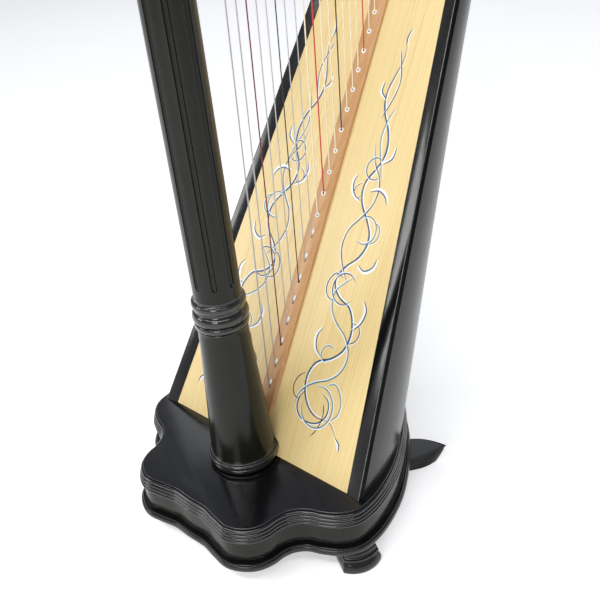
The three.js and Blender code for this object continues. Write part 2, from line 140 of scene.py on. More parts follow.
class NB:
    def __init__(self, nt):
        self.nt = nt
        self.tc = nt.nodes.new("ShaderNodeTexCoord")

    def n(self, kind, **kw):
        nd = self.nt.nodes.new(kind)
        for k, v in kw.items():
            setattr(nd, k, v)
        return nd

    def link(self, a, b):
        self.nt.links.new(a, b)

    def rot(self, angle, src=None):
        r = self.n("ShaderNodeVectorRotate", rotation_type="X_AXIS")
        r.inputs["Angle"].default_value = angle
        self.link(src or self.tc.outputs["Object"], r.inputs["Vector"])
        return r.outputs[0]

    def map(self, scale, src=None, loc=(0, 0, 0)):
        m = self.n("ShaderNodeMapping")
        m.inputs["Scale"].default_value = scale
        m.inputs["Location"].default_value = loc
        self.link(src or self.tc.outputs["Object"], m.inputs["Vector"])
        return m.outputs[0]

    def noise(self, vec, scale=1.0, detail=4.0, rough=0.55, dist=0.0):
        t = self.n("ShaderNodeTexNoise")
        t.inputs["Scale"].default_value = scale
        t.inputs["Detail"].default_value = detail
        t.inputs["Roughness"].default_value = rough
        t.inputs["Distortion"].default_value = dist
        self.link(vec, t.inputs["Vector"])
        return t.outputs["Fac"]

    def ramp(self, fac, stops, interp="LINEAR"):
        r = self.n("ShaderNodeValToRGB")
        r.color_ramp.interpolation = interp
        els = r.color_ramp.elements
        while len(els) > 1:
            els.remove(els[0])
        els[0].position = stops[0][0]
        els[0].color = (*stops[0][1], 1) if not isinstance(stops[0][1], float) else (stops[0][1],) * 3 + (1,)
        for p, c in stops[1:]:
            e = els.new(p)
            e.color = (*c, 1) if not isinstance(c, float) else (c, c, c, 1)
        self.link(fac, r.inputs[0])
        return r.outputs[0]

    def mr(self, fac, a, b, c, d):
        m = self.n("ShaderNodeMapRange")
        m.inputs[1].default_value, m.inputs[2].default_value = a, b
        m.inputs[3].default_value, m.inputs[4].default_value = c, d
        self.link(fac, m.inputs[0])
        return m.outputs[0]

    def mix(self, fac, a, b, blend="MIX"):
        m = self.n("ShaderNodeMix", data_type="RGBA", blend_type=blend)
        for sock, v in ((m.inputs["Factor"], fac), (m.inputs[6], a), (m.inputs[7], b)):
            if isinstance(v, (int, float)):
                sock.default_value = v
            elif isinstance(v, tuple):
                sock.default_value = (*v, 1)
            else:
                self.link(v, sock)
        return m.outputs[2]

    def math(self, op, a, b=None):
        m = self.n("ShaderNodeMath", operation=op)
        for k, v in enumerate((a, b)):
            if v is None:
                continue
            if isinstance(v, (int, float)):
                m.inputs[k].default_value = v
            else:
                self.link(v, m.inputs[k])
        return m.outputs[0]

    def bump(self, height, strength, dist, prev=None):
        b = self.n("ShaderNodeBump")
        b.inputs["Strength"].default_value = strength
        b.inputs["Distance"].default_value = dist
        self.link(height, b.inputs["Height"])
        if prev is not None:
            self.link(prev, b.inputs["Normal"])
        return b.outputs[0]


# the greenish cast of the default tint is a painted reflection of the surroundings, not a colour of the lacquer
def lacquer(name, tint=(0.0082, 0.0094, 0.0050), r0=0.20, r1=0.27, peel=0.035, spec=0.27, gloss=(), coat=0.08):
    m, nt, b = new_mat(name)
    g = NB(nt)
    big = g.noise(g.map((9, 9, 9)), 1, 3)
    mid = g.noise(g.map((60, 60, 60)), 1, 4, 0.6)
    fine = g.noise(g.map((420, 420, 420)), 1, 2)
    # pores of the wood under the lacquer run lengthwise
    pore = g.noise(g.map((700, 700, 28)), 1, 2, 0.5)
    col = g.mix(g.mr(mid, 0.35, 0.7, 0, 1), tint, tuple(c * 1.35 for c in tint))
    # convex arrises are lightened: partly rubbed wear, partly a painted edge highlight
    geo = g.n("ShaderNodeNewGeometry")
    edge = g.ramp(geo.outputs["Pointiness"], [(0.515, 0.0), (0.56, 1.0)])
    edge = g.math("MULTIPLY", edge, g.mr(fine, 0.35, 0.65, 0.25, 1.0))
    col = g.mix(g.math("MULTIPLY", edge, 0.55), col, (0.022, 0.022, 0.021))
    g.link(col, b.inputs["Base Color"])
    rg = g.math("ADD", g.mr(big, 0.3, 0.7, r0, r1), g.mr(mid, 0.3, 0.75, -0.02, 0.03))
    rg = g.math("ADD", rg, g.math("MULTIPLY", edge, 0.06))
    if gloss:
        # the turned beads are polished harder than the plain shaft
        sp = g.n("ShaderNodeSeparateXYZ")
        g.link(g.n("ShaderNodeTexCoord").outputs["Object"], sp.inputs[0])
        tot = None
        for z0, z1 in gloss:
            k = g.math("MULTIPLY", g.math("GREATER_THAN", sp.outputs["Z"], z0), g.math("LESS_THAN", sp.outputs["Z"], z1))
            tot = k if tot is None else g.math("ADD", tot, k)
        rg = g.math("MULTIPLY", rg, g.math("SUBTRACT", 1.0, g.math("MULTIPLY", tot, 0.52)))
    g.link(rg, b.inputs["Roughness"])
    bm = g.bump(fine, peel, 0.0003)
    bm = g.bump(g.ramp(pore, [(0.60, 0.0), (0.72, 1.0)]), -0.035, 0.0003, bm)
    g.link(bm, b.inputs["Normal"])
    b.inputs["Coat Weight"].default_value = coat
    if gloss:
        g.link(g.math("ADD", g.math("MULTIPLY", tot, 0.90), coat), b.inputs["Coat Weight"])
    b.inputs["Coat Roughness"].default_value = 0.12
    b.inputs["Specular IOR Level"].default_value = spec
    return m


def spruce(name):
    m, nt, b = new_mat(name)
    g = NB(nt)
    v = g.rot(ALPHA)
    warp = g.noise(g.map((6, 6, 2.2), v), 1, 2)
    wv = g.n("ShaderNodeVectorMath", operation="MULTIPLY_ADD")
    g.link(warp, wv.inputs[0])
    wv.inputs[1].default_value = (0.010, 0, 0)
    g.link(v, wv.inputs[2])
    v2 = wv.outputs[0]
    lines = g.noise(g.map((620, 40, 2.2), v2), 1, 2, 0.5)
    lines2 = g.noise(g.map((240, 30, 1.0), v2), 1, 3, 0.55)
    broad = g.noise(g.map((26, 5, 0.9), v2), 1, 3, 0.5)
    silk = g.noise(g.map((160, 60, 75), v), 1, 3, 0.6, 0.4)
    fib = g.noise(g.map((1500, 200, 30), v), 1, 2, 0.5)
    c = g.ramp(lines, [(0.28, (0.700, 0.495, 0.205)), (0.46, (0.785, 0.600, 0.272)), (0.62, (0.820, 0.645, 0.305))])
    c = g.mix(g.mr(lines2, 0.35, 0.65, 0.0, 0.35), c, (0.755, 0.560, 0.240), "MIX")
    c = g.mix(g.mr(broad, 0.35, 0.65, 0.0, 0.30), c, (0.840, 0.675, 0.330))
    c = g.mix(g.mr(silk, 0.55, 0.75, 0.0, 0.30), c, (0.880, 0.730, 0.385))
    c = g.mix(g.mr(fib, 0.3, 0.7, 0.0, 0.18), c, (0.660, 0.465, 0.170))
    g.link(c, b.inputs["Base Color"])
    g.link(g.mr(lines, 0.3, 0.7, 0.42, 0.34), b.inputs["Roughness"])
    bm = g.bump(lines, 0.10, 0.0003)
    bm = g.bump(fib, 0.05, 0.0002, bm)
    g.link(bm, b.inputs["Normal"])
    b.inputs["Coat Weight"].default_value = 0.15
    b.inputs["Coat Roughness"].default_value = 0.2
    return m


def hardwood(name, c0, c1, c2, angle=ALPHA, rough=0.36, along=(420, 420, 5)):
    m, nt, b = new_mat(name)
    g = NB(nt)
    v = g.rot(angle)
    warp = g.noise(g.map((14, 14, 5), v), 1, 2)
    wv = g.n("ShaderNodeVectorMath", operation="MULTIPLY_ADD")
    g.link(warp, wv.inputs[0])
    wv.inputs[1].default_value = (0.012, 0.012, 0)
    g.link(v, wv.inputs[2])
    v2 = wv.outputs[0]
    a = g.noise(g.map(along, v2), 1, 3, 0.55)
    broad = g.noise(g.map((55, 55, 3.5), v2), 1, 3, 0.5)
    pore = g.noise(g.map((1300, 1300, 40), v), 1, 2, 0.5)
    c = g.ramp(a, [(0.3, c0), (0.5, c1), (0.7, c2)])
    c = g.mix(g.mr(broad, 0.35, 0.65, 0, 0.6), c, c1)
    pr = g.ramp(pore, [(0.60, 0.0), (0.70, 1.0)])
    c = g.mix(g.math("MULTIPLY", pr, 0.4), c, tuple(k * 0.45 for k in c0))
    g.link(c, b.inputs["Base Color"])
    g.link(g.mr(a, 0.3, 0.7, rough + 0.06, rough - 0.03), b.inputs["Roughness"])
    bm = g.bump(a, 0.10, 0.0003)
    bm = g.bump(pr, -0.12, 0.0002, bm)
    g.link(bm, b.inputs["Normal"])
    b.inputs["Coat Weight"].default_value = 0.2
    b.inputs["Coat Roughness"].default_value = 0.2
    return m


def metal(name, col, rough=0.22, brushed=0.0, axis=(400, 400, 400), tarnish=(0.5, 0.36, 0.2), tar=0.2):
    m, nt, b = new_mat(name)
    g = NB(nt)
    a = g.noise(g.map(axis), 1, 3, 0.6)
    big = g.noise(g.map((45, 45, 45)), 1, 4, 0.6)
    sc = g.noise(g.map((900, 900, 90)), 1, 2, 0.5)
    c = g.mix(g.mr(big, 0.45, 0.7, 0, tar), col, tarnish)
    g.link(c, b.inputs["Base Color"])
    b.inputs["Metallic"].default_value = 1.0
    g.link(g.math("ADD", g.mr(big, 0.3, 0.7, rough, rough + 0.12), g.mr(sc, 0.3, 0.7, -0.03, 0.05)), b.inputs["Roughness"])
    bm = g.bump(a, 0.06 + brushed, 0.0002)
    g.link(bm, b.inputs["Normal"])
    return m


def wound(name, col, rough=0.3, metallic=1.0, pitch=0.00062, tint=None):
    m, nt, b = new_mat(name)
    g = NB(nt)
    w = g.n("ShaderNodeTexWave", wave_type="BANDS", bands_direction="Z", wave_profile="SIN")
    w.inputs["Scale"].default_value = 0.314 / pitch / 10.0 * 10.0 / 2.0
    w.inputs["Distortion"].default_value = 0.0
    g.link(g.tc.outputs["Object"], w.inputs["Vector"])
    big = g.noise(g.map((60, 60, 12)), 1, 3)
    # darker in the grooves between windings: painted shade
    c = g.mix(g.mr(w.outputs["Fac"], 0.0, 0.5, 0.55, 0.0), col, tuple(k * 0.35 for k in col))
    c = g.mix(g.mr(big, 0.35, 0.7, 0, 0.25), c, tint or tuple(k * 0.7 for k in col))
    g.link(c, b.inputs["Base Color"])
    b.inputs["Metallic"].default_value = metallic
    g.link(g.mr(big, 0.3, 0.7, rough, rough + 0.12), b.inputs["Roughness"])
    g.link(g.bump(w.outputs["Fac"], 0.5, 0.0002), b.inputs["Normal"])
    return m


def gut(name, col, dark, trans=0.0, rough=0.35):
    m, nt, b = new_mat(name)
    g = NB(nt)
    tw = g.noise(g.map((500, 500, 160)), 1, 3, 0.6)
    big = g.noise(g.map((30, 30, 9)), 1, 3)
    c = g.mix(g.mr(tw, 0.35, 0.65, 0, 0.45), col, dark)
    c = g.mix(g.mr(big, 0.4, 0.7, 0, 0.3), c, dark)
    g.link(c, b.inputs["Base Color"])
    g.link(g.mr(tw, 0.3, 0.7, rough, rough + 0.1), b.inputs["Roughness"])
    g.link(g.bump(tw, 0.18, 0.0002), b.inputs["Normal"])
    if trans:
        b.inputs["Transmission Weight"].default_value = trans
        b.inputs["IOR"].default_value = 1.45
    b.inputs["Coat Weight"].default_value = 0.2
    return m


def plastic(name, col, var=0.12, rough=0.3, sss=0.0):
    m, nt, b = new_mat(name)
    g = NB(nt)
    a = g.noise(g.map((260, 260, 260)), 1, 4, 0.6)
    big = g.noise(g.map((40, 40, 40)), 1, 3)
    c = g.mix(g.mr(big, 0.3, 0.7, 0, 1), col, tuple(min(1, k * (1 - var)) for k in col))
    g.link(c, b.inputs["Base Color"])
    g.link(g.mr(a, 0.3, 0.7, rough - 0.04, rough + 0.08), b.inputs["Roughness"])
    g.link(g.bump(a, 0.06, 0.0002), b.inputs["Normal"])
    if sss:
        b.inputs["Subsurface Weight"].default_value = sss
        b.inputs["Subsurface Radius"].default_value = (0.002, 0.0015, 0.001)
    return m


MAT = dict(
    lac=lacquer("black_lacquer"),
    # copy for upward faces: its very dark bluish tint is painted shade with a painted sky reflection
    lac_top=lacquer("black_lacquer_flat", (0.0017, 0.0018, 0.0026), 0.115, 0.16, 0.02, 0.70),
    # wall copy: its greenish tint is a painted reflection of the surroundings
    lac_wall=lacquer("black_lacquer_wall", (0.0078, 0.0088, 0.0050), 0.20, 0.27, 0.035, 0.19),
    # darker, barely reflecting copy for the undercut sides of the rear feet and the strips' outer sides: painted shade
    lac_foot=lacquer("black_lacquer_foot", (0.0030, 0.0031, 0.0028), 0.24, 0.32, 0.02, 0.05, (), 0.0),
    lac_gloss=lacquer("black_lacquer_polished", (0.0050, 0.0054, 0.0046), 0.11, 0.16, 0.02, 0.42),
    # column copy: its greenish tint is a painted reflection of the surroundings
    lac_col=lacquer("black_lacquer_column", (0.0068, 0.0076, 0.0048), 0.18, 0.24, 0.03, 0.23, ((0.1070, 0.1275), (0.3330, 0.3800))),
    # pale copy for the tube along the strip arris: a painted highlight
    lac_edge=lacquer("black_lacquer_rubbed_edge", (0.13, 0.13, 0.135), 0.14, 0.2, 0.02, 0.6),
    spruce=spruce("spruce"),
    rib=hardwood("rib_hardwood", (0.440, 0.210, 0.072), (0.550, 0.293, 0.112), (0.630, 0.367, 0.155)),
    liner=hardwood("liner_wood", (0.36, 0.22, 0.11), (0.47, 0.30, 0.16), (0.55, 0.38, 0.22), rough=0.55),
    ply=hardwood("shell_inside", (0.34, 0.22, 0.12), (0.44, 0.30, 0.17), (0.52, 0.37, 0.22), rough=0.6, along=(30, 30, 120)),
    brass=metal("lever_brass", (0.80, 0.60, 0.28), 0.2, 0.02),
    steel=metal("pin_steel", (0.62, 0.63, 0.65), 0.2, 0.02, tarnish=(0.4, 0.4, 0.4)),
    darksteel=metal("pin_dark", (0.22, 0.22, 0.23), 0.3, 0.03, tarnish=(0.12, 0.11, 0.1)),
    wire=wound("wire_plain", (0.62, 0.62, 0.63)),
    wire_c=wound("wire_red", (0.20, 0.020, 0.030), 0.35, 0.25, tint=(0.12, 0.012, 0.02)),
    wire_f=wound("wire_black", (0.020, 0.020, 0.024), 0.35, 0.3),
    gut=gut("gut_plain", (0.86, 0.77, 0.58), (0.70, 0.58, 0.38), 0.0),
    gut_c=gut("gut_red", (0.60, 0.020, 0.018), (0.42, 0.012, 0.012)),
    gut_f=gut("gut_black", (0.014, 0.014, 0.018), (0.008, 0.008, 0.010)),
    nylon=gut("nylon_clear", (0.92, 0.91, 0.87), (0.84, 0.83, 0.78), 0.35, 0.18),
    ivory=plastic("eyelet_ivory", (0.90, 0.86, 0.80), 0.08, 0.28, 0.15),
    # dark discs and bars standing for holes and slots: painted shade
    hole=plastic("hole_dark", (0.012, 0.008, 0.006), 0.3, 0.7),
    ink_blue=plastic("decal_blue", (0.016, 0.130, 0.330), 0.35, 0.35),
    ink_navy=plastic("decal_navy", (0.006, 0.018, 0.045), 0.4, 0.35),
    ink_sky=plastic("decal_sky", (0.14, 0.42, 0.62), 0.2, 0.35),
    ink_white=plastic("decal_white", (0.93, 0.94, 0.95), 0.05, 0.35),
    felt=plastic("foot_felt", (0.03, 0.03, 0.03), 0.3, 0.9),
)


# ---------------------------------------------------------------- mesh helpers
def make(name, verts, faces, mat, replaces=(), body=ROOT, smooth=35, raw=False):
    me = bpy.data.meshes.new(name)
    me.from_pydata([tuple(v) if raw else W(v) for v in verts], [], [tuple(f) for f in faces])
    me.validate()
    bm = bmesh.new()
    bm.from_mesh(me)
    bmesh.ops.remove_doubles(bm, verts=bm.verts, dist=1e-7)
    bmesh.ops.recalc_face_normals(bm, faces=bm.faces)
    bm.to_mesh(me)
    bm.free()
    if smooth:
        me.shade_smooth()
        me.set_sharp_from_angle(angle=math.radians(smooth))
    ob = bpy.data.objects.new(name, me)
    bpy.context.scene.collection.objects.link(ob)
    mats = mat if isinstance(mat, (list, tuple)) else [mat]
    for k in mats:
        me.materials.append(MAT[k])
    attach(ob, body)
    if replaces:
        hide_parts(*replaces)
    return ob


class Soup:
    """gathers many small closed parts into one mesh"""

    def __init__(self):
        self.v, self.f, self.m = [], [], []

    def add(self, verts, faces, mi=0):
        o = len(self.v)
        self.v += list(verts)
        self.f += [tuple(o + k for k in f) for f in faces]
        self.m += [mi] * len(faces)

    def make(self, name, mats, **kw):
        ob = make_soup(name, self.v, self.f, self.m, mats, **kw)
        return ob


def make_soup(name, verts, faces, mi, mats, slot=None, replaces=(), body=ROOT, smooth=35):
    me = bpy.data.meshes.new(name)
    me.from_pydata([W(v) for v in verts], [], faces)
    me.polygons.foreach_set("material_index", mi)
    bm = bmesh.new()
    bm.from_mesh(me)
    bmesh.ops.recalc_face_normals(bm, faces=bm.faces)
    bm.to_mesh(me)
    bm.free()
    if smooth:
        me.shade_smooth()
        me.set_sharp_from_angle(angle=math.radians(smooth))
    ob = bpy.data.objects.new(name, me)
    bpy.context.scene.collection.objects.link(ob)
    for k in (mats if isinstance(mats, (list, tuple)) else [mats]):
        me.materials.append(MAT[k])
    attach(ob, body)
    if replaces:
        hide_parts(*replaces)
    return ob


def loft(rings, closed_ring=True, cap=True, closed_path=False):
    """rings: list of equal-length point lists -> verts, faces"""
    n, m = len(rings[0]), len(rings)
    v = [p for r in rings for p in r]
    f = []
    last = m if closed_path else m - 1
    for j in range(last):
        jn = (j + 1) % m
        for i in range(n if closed_ring else n - 1):
            a, b = j * n + i, j * n + (i + 1) % n
            c, d = jn * n + i, jn * n + (i + 1) % n
            f.append((a, b, d, c))
    if cap and not closed_path:
        f.append(tuple(range(n - 1, -1, -1)))
        f.append(tuple((m - 1) * n + i for i in range(n)))
    return v, f


def lathe(profile, seg, frame_fn, rfn=None):
    """profile [(r, z)], frame_fn(x, y, z) -> point. Ends on the axis make poles."""
    v, f = [], []
    rows = []
    for (r, z) in profile:
        if r <= 1e-6:
            rows.append([len(v)])
            v.append(frame_fn(0, 0, z))
        else:
            row = []
            for k in range(seg):
                a = 2 * math.pi * k / seg
                rr = r if rfn is None else rfn(r, z, a)
                row.append(len(v))
                v.append(frame_fn(rr * math.cos(a), rr * math.sin(a), z))
            rows.append(row)
    for j in range(len(rows) - 1):
        a, b = rows[j], rows[j + 1]
        if len(a) == 1 and len(b) == 1:
            continue
        for k in range(seg):
            k2 = (k + 1) % seg
            if len(a) == 1:
                f.append((a[0], b[k2], b[k]))
            elif len(b) == 1:
                f.append((a[k], a[k2], b[0]))
            else:
                f.append((a[k], a[k2], b[k2], b[k]))
    return v, f


def tube(points, radius, seg=8, cap=True):
    """round tube through points (construction mm), parallel transport"""
    P = [Vector(p) for p in points]
    n = len(P)
    rs = radius if isinstance(radius, (list, tuple)) else [radius] * n
    T = []
    for i in range(n):
        d = P[min(i + 1, n - 1)] - P[max(i - 1, 0)]
        T.append(d.normalized())
    ref = Vector((1, 0, 0)) if abs(T[0].x) < 0.9 else Vector((0, 1, 0))
    N = (ref - T[0] * ref.dot(T[0])).normalized()
    rings = []
    for i in range(n):
        N = (N - T[i] * N.dot(T[i])).normalized()
        B = T[i].cross(N)
        rings.append([tuple(P[i] + (N * math.cos(2 * math.pi * k / seg) + B * math.sin(2 * math.pi * k / seg)) * rs[i]) for k in range(seg)])
    return loft(rings, cap=cap)


def arc(cx, cz, r, a0, a1, n):
    return [(cx + r * math.cos(math.radians(a0 + (a1 - a0) * k / n)), cz + r * math.sin(math.radians(a0 + (a1 - a0) * k / n))) for k in range(n + 1)]


# ---------------------------------------------------------------- camera, floor and light
CAM = W((690.99, -613.28, 786.99))
R_ = Vector((0.75604616, 0.65049754, -0.0724372))
U_ = Vector((-0.28656883, 0.42848838, 0.85689907))
F_ = Vector((-0.58844924, 0.62709701, -0.51036931))
cam_d = bpy.data.cameras.new("camera")
cam = bpy.data.objects.new("camera", cam_d)
bpy.context.scene.collection.objects.link(cam)
cam.matrix_world = Matrix(((R_.x, U_.x, -F_.x, CAM[0]), (R_.y, U_.y, -F_.y, CAM[1]), (R_.z, U_.z, -F_.z, CAM[2]), (0, 0, 0, 1)))
cam_d.sensor_width = 36.0
cam_d.sensor_fit = "HORIZONTAL"
cam_d.lens = 805.2 / 600.0 * 36.0
cam_d.clip_start = 0.05
bpy.context.scene.camera = cam

sc = bpy.context.scene
sc.view_settings.view_transform = "Standard"
sc.view_settings.look = "None"
sc.view_settings.exposure = 0.0

fm, fnt, fb = new_mat("floor_white")
fg = NB(fnt)
fn_ = fg.noise(fg.map((3, 3, 3)), 1, 3)
fg.link(fg.mix(fg.mr(fn_, 0.3, 0.7, 0, 1), (0.93, 0.93, 0.93), (0.96, 0.96, 0.96)), fb.inputs["Base Color"])
fb.inputs["Roughness"].default_value = 0.75
fb.inputs["Specular IOR Level"].default_value = 0.1
fb.inputs["Emission Color"].default_value = (1, 1, 1, 1)
fb.inputs["Emission Strength"].default_value = 0.44
MAT["floor"] = fm
me = bpy.data.meshes.new("floor")
me.from_pydata([(-14, -14, -0.0005), (14, -14, -0.0005), (14, 14, -0.0005), (-14, 14, -0.0005)], [], [(0, 1, 2, 3)])
floor = bpy.data.objects.new("floor", me)
me.materials.append(fm)
bpy.context.scene.collection.objects.link(floor)

w = bpy.data.worlds.new("studio")
sc.world = w
w.use_nodes = True
wn = w.node_tree
wn.nodes.clear()
wo = wn.nodes.new("ShaderNodeOutputWorld")
bg = wn.nodes.new("ShaderNodeBackground")
wtc = wn.nodes.new("ShaderNodeTexCoord")
wsep = wn.nodes.new("ShaderNodeSeparateXYZ")
wr = wn.nodes.new("ShaderNodeValToRGB")
wn.links.new(wtc.outputs["Generated"], wsep.inputs[0])
wmr = wn.nodes.new("ShaderNodeMapRange")
wmr.inputs[1].default_value, wmr.inputs[2].default_value = -1, 1
wn.links.new(wsep.outputs[2], wmr.inputs[0])
wn.links.new(wmr.outputs[0], wr.inputs[0])
e = wr.color_ramp.elements
e[0].position, e[0].color = 0.45, (0.9, 0.9, 0.9, 1)
e[1].position, e[1].color = 1.0, (0.42, 0.45, 0.52, 1)
k = e.new(0.62)
k.color = (0.62, 0.62, 0.64, 1)
wn.links.new(wr.outputs[0], bg.inputs[0])
bg.inputs[1].default_value = 0.62
wn.links.new(bg.outputs[0], wo.inputs[0])


def area(name, loc, target, sx, sy, power, col=(1, 1, 1)):
    l = bpy.data.lights.new(name, "AREA")
    l.shape = "RECTANGLE"
    l.size, l.size_y = sx, sy
    l.energy = power
    l.color = col
    o = bpy.data.objects.new(name, l)
    bpy.context.scene.collection.objects.link(o)
    o.location = loc
    o.rotation_euler = (Vector(target) - Vector(loc)).to_track_quat("-Z", "Y").to_euler()
    return o


area("soft_left", (-2.3, -2.5, 1.6), (0, 0, 0.3), 1.2, 1.2, 24, (1.0, 0.995, 0.98))
area("soft_right", (1.25, -3.3, 1.55), (0, 0, 0.3), 1.2, 1.4, 30, (1.0, 0.995, 0.985))
for k, (x, y, z, p) in enumerate([(-0.65, -1.79, 2.5, 15), (0.55, -1.80, 2.6, 15), (1.50, -1.15, 2.6, 13)]):
    area("strip_%d" % k, (x, y, z), (0, 0, 0.15), 1.5, 0.12, p)
area("sky_back", (-2.6, 2.5, 2.7), (0, 0, 0.1), 2.6, 2.2, 14, (0.95, 0.975, 1.0))
area("soft_back", (1.2, 3.0, 2.0), (0, 0, 0.8), 1.6, 1.0, 12)

# ---------------------------------------------------------------- base
HALF = [[0, -133.2], [30.2, -132.6], [56.3, -137.4], [79.8, -140.2], [97.4, -133.2], [109.8, -122.5], [117.4, -106.5],
        [120.5, -87.2], [128.4, -69.3], [143.9, -54.1], [164.8, -45.1], [184.7, -33.4], [199.3, -14.8], [202.7, 9.5], [200.8, 34.2],
        [195.1, 62.4], [186.4, 90.5], [173.3, 119.7], [157.3, 148.7], [138.2, 178.8], [117.1, 207.9], [93, 235], [64.9, 261.1],
        [33.6, 281.3], [0, 288.5]]


def catmull(pts, closed=True, per=24):
    P = np.array(pts, float)
    n = len(P)
    out = []
    segs = n if closed else n - 1
    for i in range(segs):
        if closed:
            p0, p1, p2, p3 = P[(i - 1) % n], P[i], P[(i + 1) % n], P[(i + 2) % n]
        else:
            p1, p2 = P[i], P[i + 1]
            p0 = P[i - 1] if i > 0 else 2 * p1 - p2
            p3 = P[i + 2] if i + 2 < n else 2 * p2 - p1
        d0, d1, d2 = (max(np.linalg.norm(b - a) ** 0.5, 1e-4) for a, b in ((p0, p1), (p1, p2), (p2, p3)))
        t1 = (p1 - p0) / d0 - (p2 - p0) / (d0 + d1) + (p2 - p1) / d1
        t2 = (p2 - p1) / d1 - (p3 - p1) / (d1 + d2) + (p3 - p2) / d2
        t1, t2 = t1 * d1, t2 * d1
        c2 = -3 * p1 + 3 * p2 - 2 * t1 - t2
        c3 = 2 * p1 - 2 * p2 + t1 + t2
        for k in range(per):
            u = k / per
            out.append(p1 + t1 * u + c2 * u * u + c3 * u ** 3)
    if not closed:
        out.append(P[-1])
    return np.array(out)


def resample(P, n, closed=True):
    Q = np.vstack([P, P[:1]]) if closed else P
    d = np.r_[0, np.cumsum(np.linalg.norm(np.diff(Q, axis=0), axis=1))]
    s = np.linspace(0, d[-1], n, endpoint=not closed)
    return np.stack([np.interp(s, d, Q[:, k]) for k in range(Q.shape[1])], -1)


def normals2(P, closed=True):
    if closed:
        d = np.roll(P, -1, 0) - np.roll(P, 1, 0)
    else:
        d = np.gradient(P, axis=0)
    d /= np.linalg.norm(d, axis=1)[:, None]
    return np.stack([d[:, 1], -d[:, 0]], -1)


OUT = resample(catmull(HALF + [[-x, y] for x, y in HALF[1:-1][::-1]]), 560)
ON = normals2(OUT)


def base_ring(off, z):
    q = OUT + ON * off
    return [(p[0], p[1], z) for p in q]


# top plate: flat top, a small rounded arris, then four reeds of growing reach
prof = [(-0.9, 0.0), (-0.3, -0.12), (0.15, -0.5), (0.35, -1.1), (0.3, -2.0), (0.1, -2.5)]
ends = [(0.1, -2.6), (3.3, -8.4), (4.9, -13.0), (6.2, -17.6), (6.9, -22.2)]
BUL = [2.2, 1.5, 1.5, 1.6]
for q_, (a, b) in enumerate(zip(ends[:-1], ends[1:])):
    A_, B_ = np.array(a), np.array(b)
    dd = B_ - A_
    L_ = np.linalg.norm(dd)
    nn = np.array([-dd[1], dd[0]]) / L_
    if nn[0] < 0:
        nn = -nn
    prof.append((float(A_[0] - nn[0] * 0.5), float(A_[1] - nn[1] * 0.5)))
    for k in range(1, 14):
        u = k / 14
        q = A_ + dd * u + nn * BUL[q_] * math.sin(math.pi * u) ** 0.62
        prof.append((float(q[0]), float(q[1])))
    prof.append((float(B_[0] - nn[0] * 0.5), float(B_[1] - nn[1] * 0.5)))
prof += [(5.6, -22.7), (4.2, -23.0)]
rings = [base_ring(o, z) for o, z in prof]
v, f = loft(rings, cap=True)
make("base_top_plate", v, f, "lac_top", ("base_top",), smooth=32)

# wall with a soft cove at its foot
WALL = [(-11.0, -23.3), (3.9, -23.3), (4.1, -30.0), (4.2, -40.0), (4.4, -50.2), (4.1, -51.6), (3.2, -52.6), (-11.0, -52.65)]
rings = [base_ring(o, z) for o, z in WALL]
v, f = loft(rings, cap=False, closed_path=True)
make("base_wall_skin", v, f, "lac_wall", ("base_wall",), smooth=40)

# flange: dark recess under the wall, a fillet line, then a rounded edge
fl = [(-2.0, -53.0), (-1.6, -55.4), (-0.4, -57.2), (1.6, -58.4), (4.2, -59.0), (7.4, -59.2), (8.0, -58.5), (8.7, -58.2), (9.5, -58.3), (10.0, -58.9), (10.2, -59.8)]
fl += [(10.3 + 2.9 * math.sin(a), -65.0 + 5.2 * math.cos(a)) for a in np.linspace(0.14, math.pi - 0.25, 18)]
fl += [(10.4, -70.3), (9.2, -71.0)]
rings = [base_ring(o, z) for o, z in fl]
v, f = loft(rings, cap=True)
make("base_flange_moulding", v, f, "lac_gloss", ("base_flange",), smooth=32)

# feet ---------------------------------------------------------------
def foot_front(sx):
    cx, cy, ang, half, bow, back = 179.0, -1.0, math.radians(-31), 27.3, 41.8, 50.0
    c, s = math.cos(ang), math.sin(ang)
    # (inset of the bowed end, z): neck, fillet, cove, bead, ogee, plinth
    pr = [(12.4, -71.35), (11.8, -73.0), (11.4, -76.0), (11.0, -77.2), (9.9, -77.5), (9.5, -78.3)]
    pr += [(9.3 - 3.6 * (1 - math.cos(a)), -78.8 - 5.0 * math.sin(a)) for a in np.linspace(0.1, math.pi * 0.5, 8)]
    pr += [(4.9, -84.3), (4.6, -85.4), (4.7, -87.2), (5.2, -88.4), (4.4, -89.8), (2.8, -92.0), (1.3, -94.2), (0.4, -96.6), (0.0, -98.6), (0.0, -103.6), (0.5, -104.6), (1.4, -105.0)]
    rings = []
    for d, z in pr:
        vl, vr = -half + 0.62 * d, half + 3.7 - 0.75 * d
        ring = [(-back, vl), (-back * 0.5, vl)]
        for k in range(33):
            v_ = vl + (vr - vl) * k / 32
            ring.append((math.sqrt(bow * bow - v_ * v_) - d, v_))
        ring += [(-back * 0.5, vr), (-back, vr)]
        rings.append([((cx + u * c - w_ * s) * sx, cy + u * s + w_ * c, z) for u, w_ in ring])
    v, f = loft(rings)
    nm = "left" if sx > 0 else "right"
    return make("foot_front_%s_moulded" % nm, v, f, "lac_gloss", ("foot_front_" + nm,), smooth=28)


LEAF = [[112, 118], [135, 138], [149.8, 156.8], [160.2, 171.4], [167.5, 185.2], [174.3, 202.8], [181.2, 220.7], [184.4, 233.1],
        [166.1, 230.1], [150.6, 225.1], [137, 217.1], [122, 203], [108, 184], [98, 160]]


LEAF_LOW = [[110, 130], [128, 148], [141, 166], [150, 178.5], [157.5, 188.5], [165, 200], [170.5, 214], [172.6, 225.5],
            [158, 221.5], [145, 216.5], [133, 209], [120, 196], [110, 180], [103, 158]]


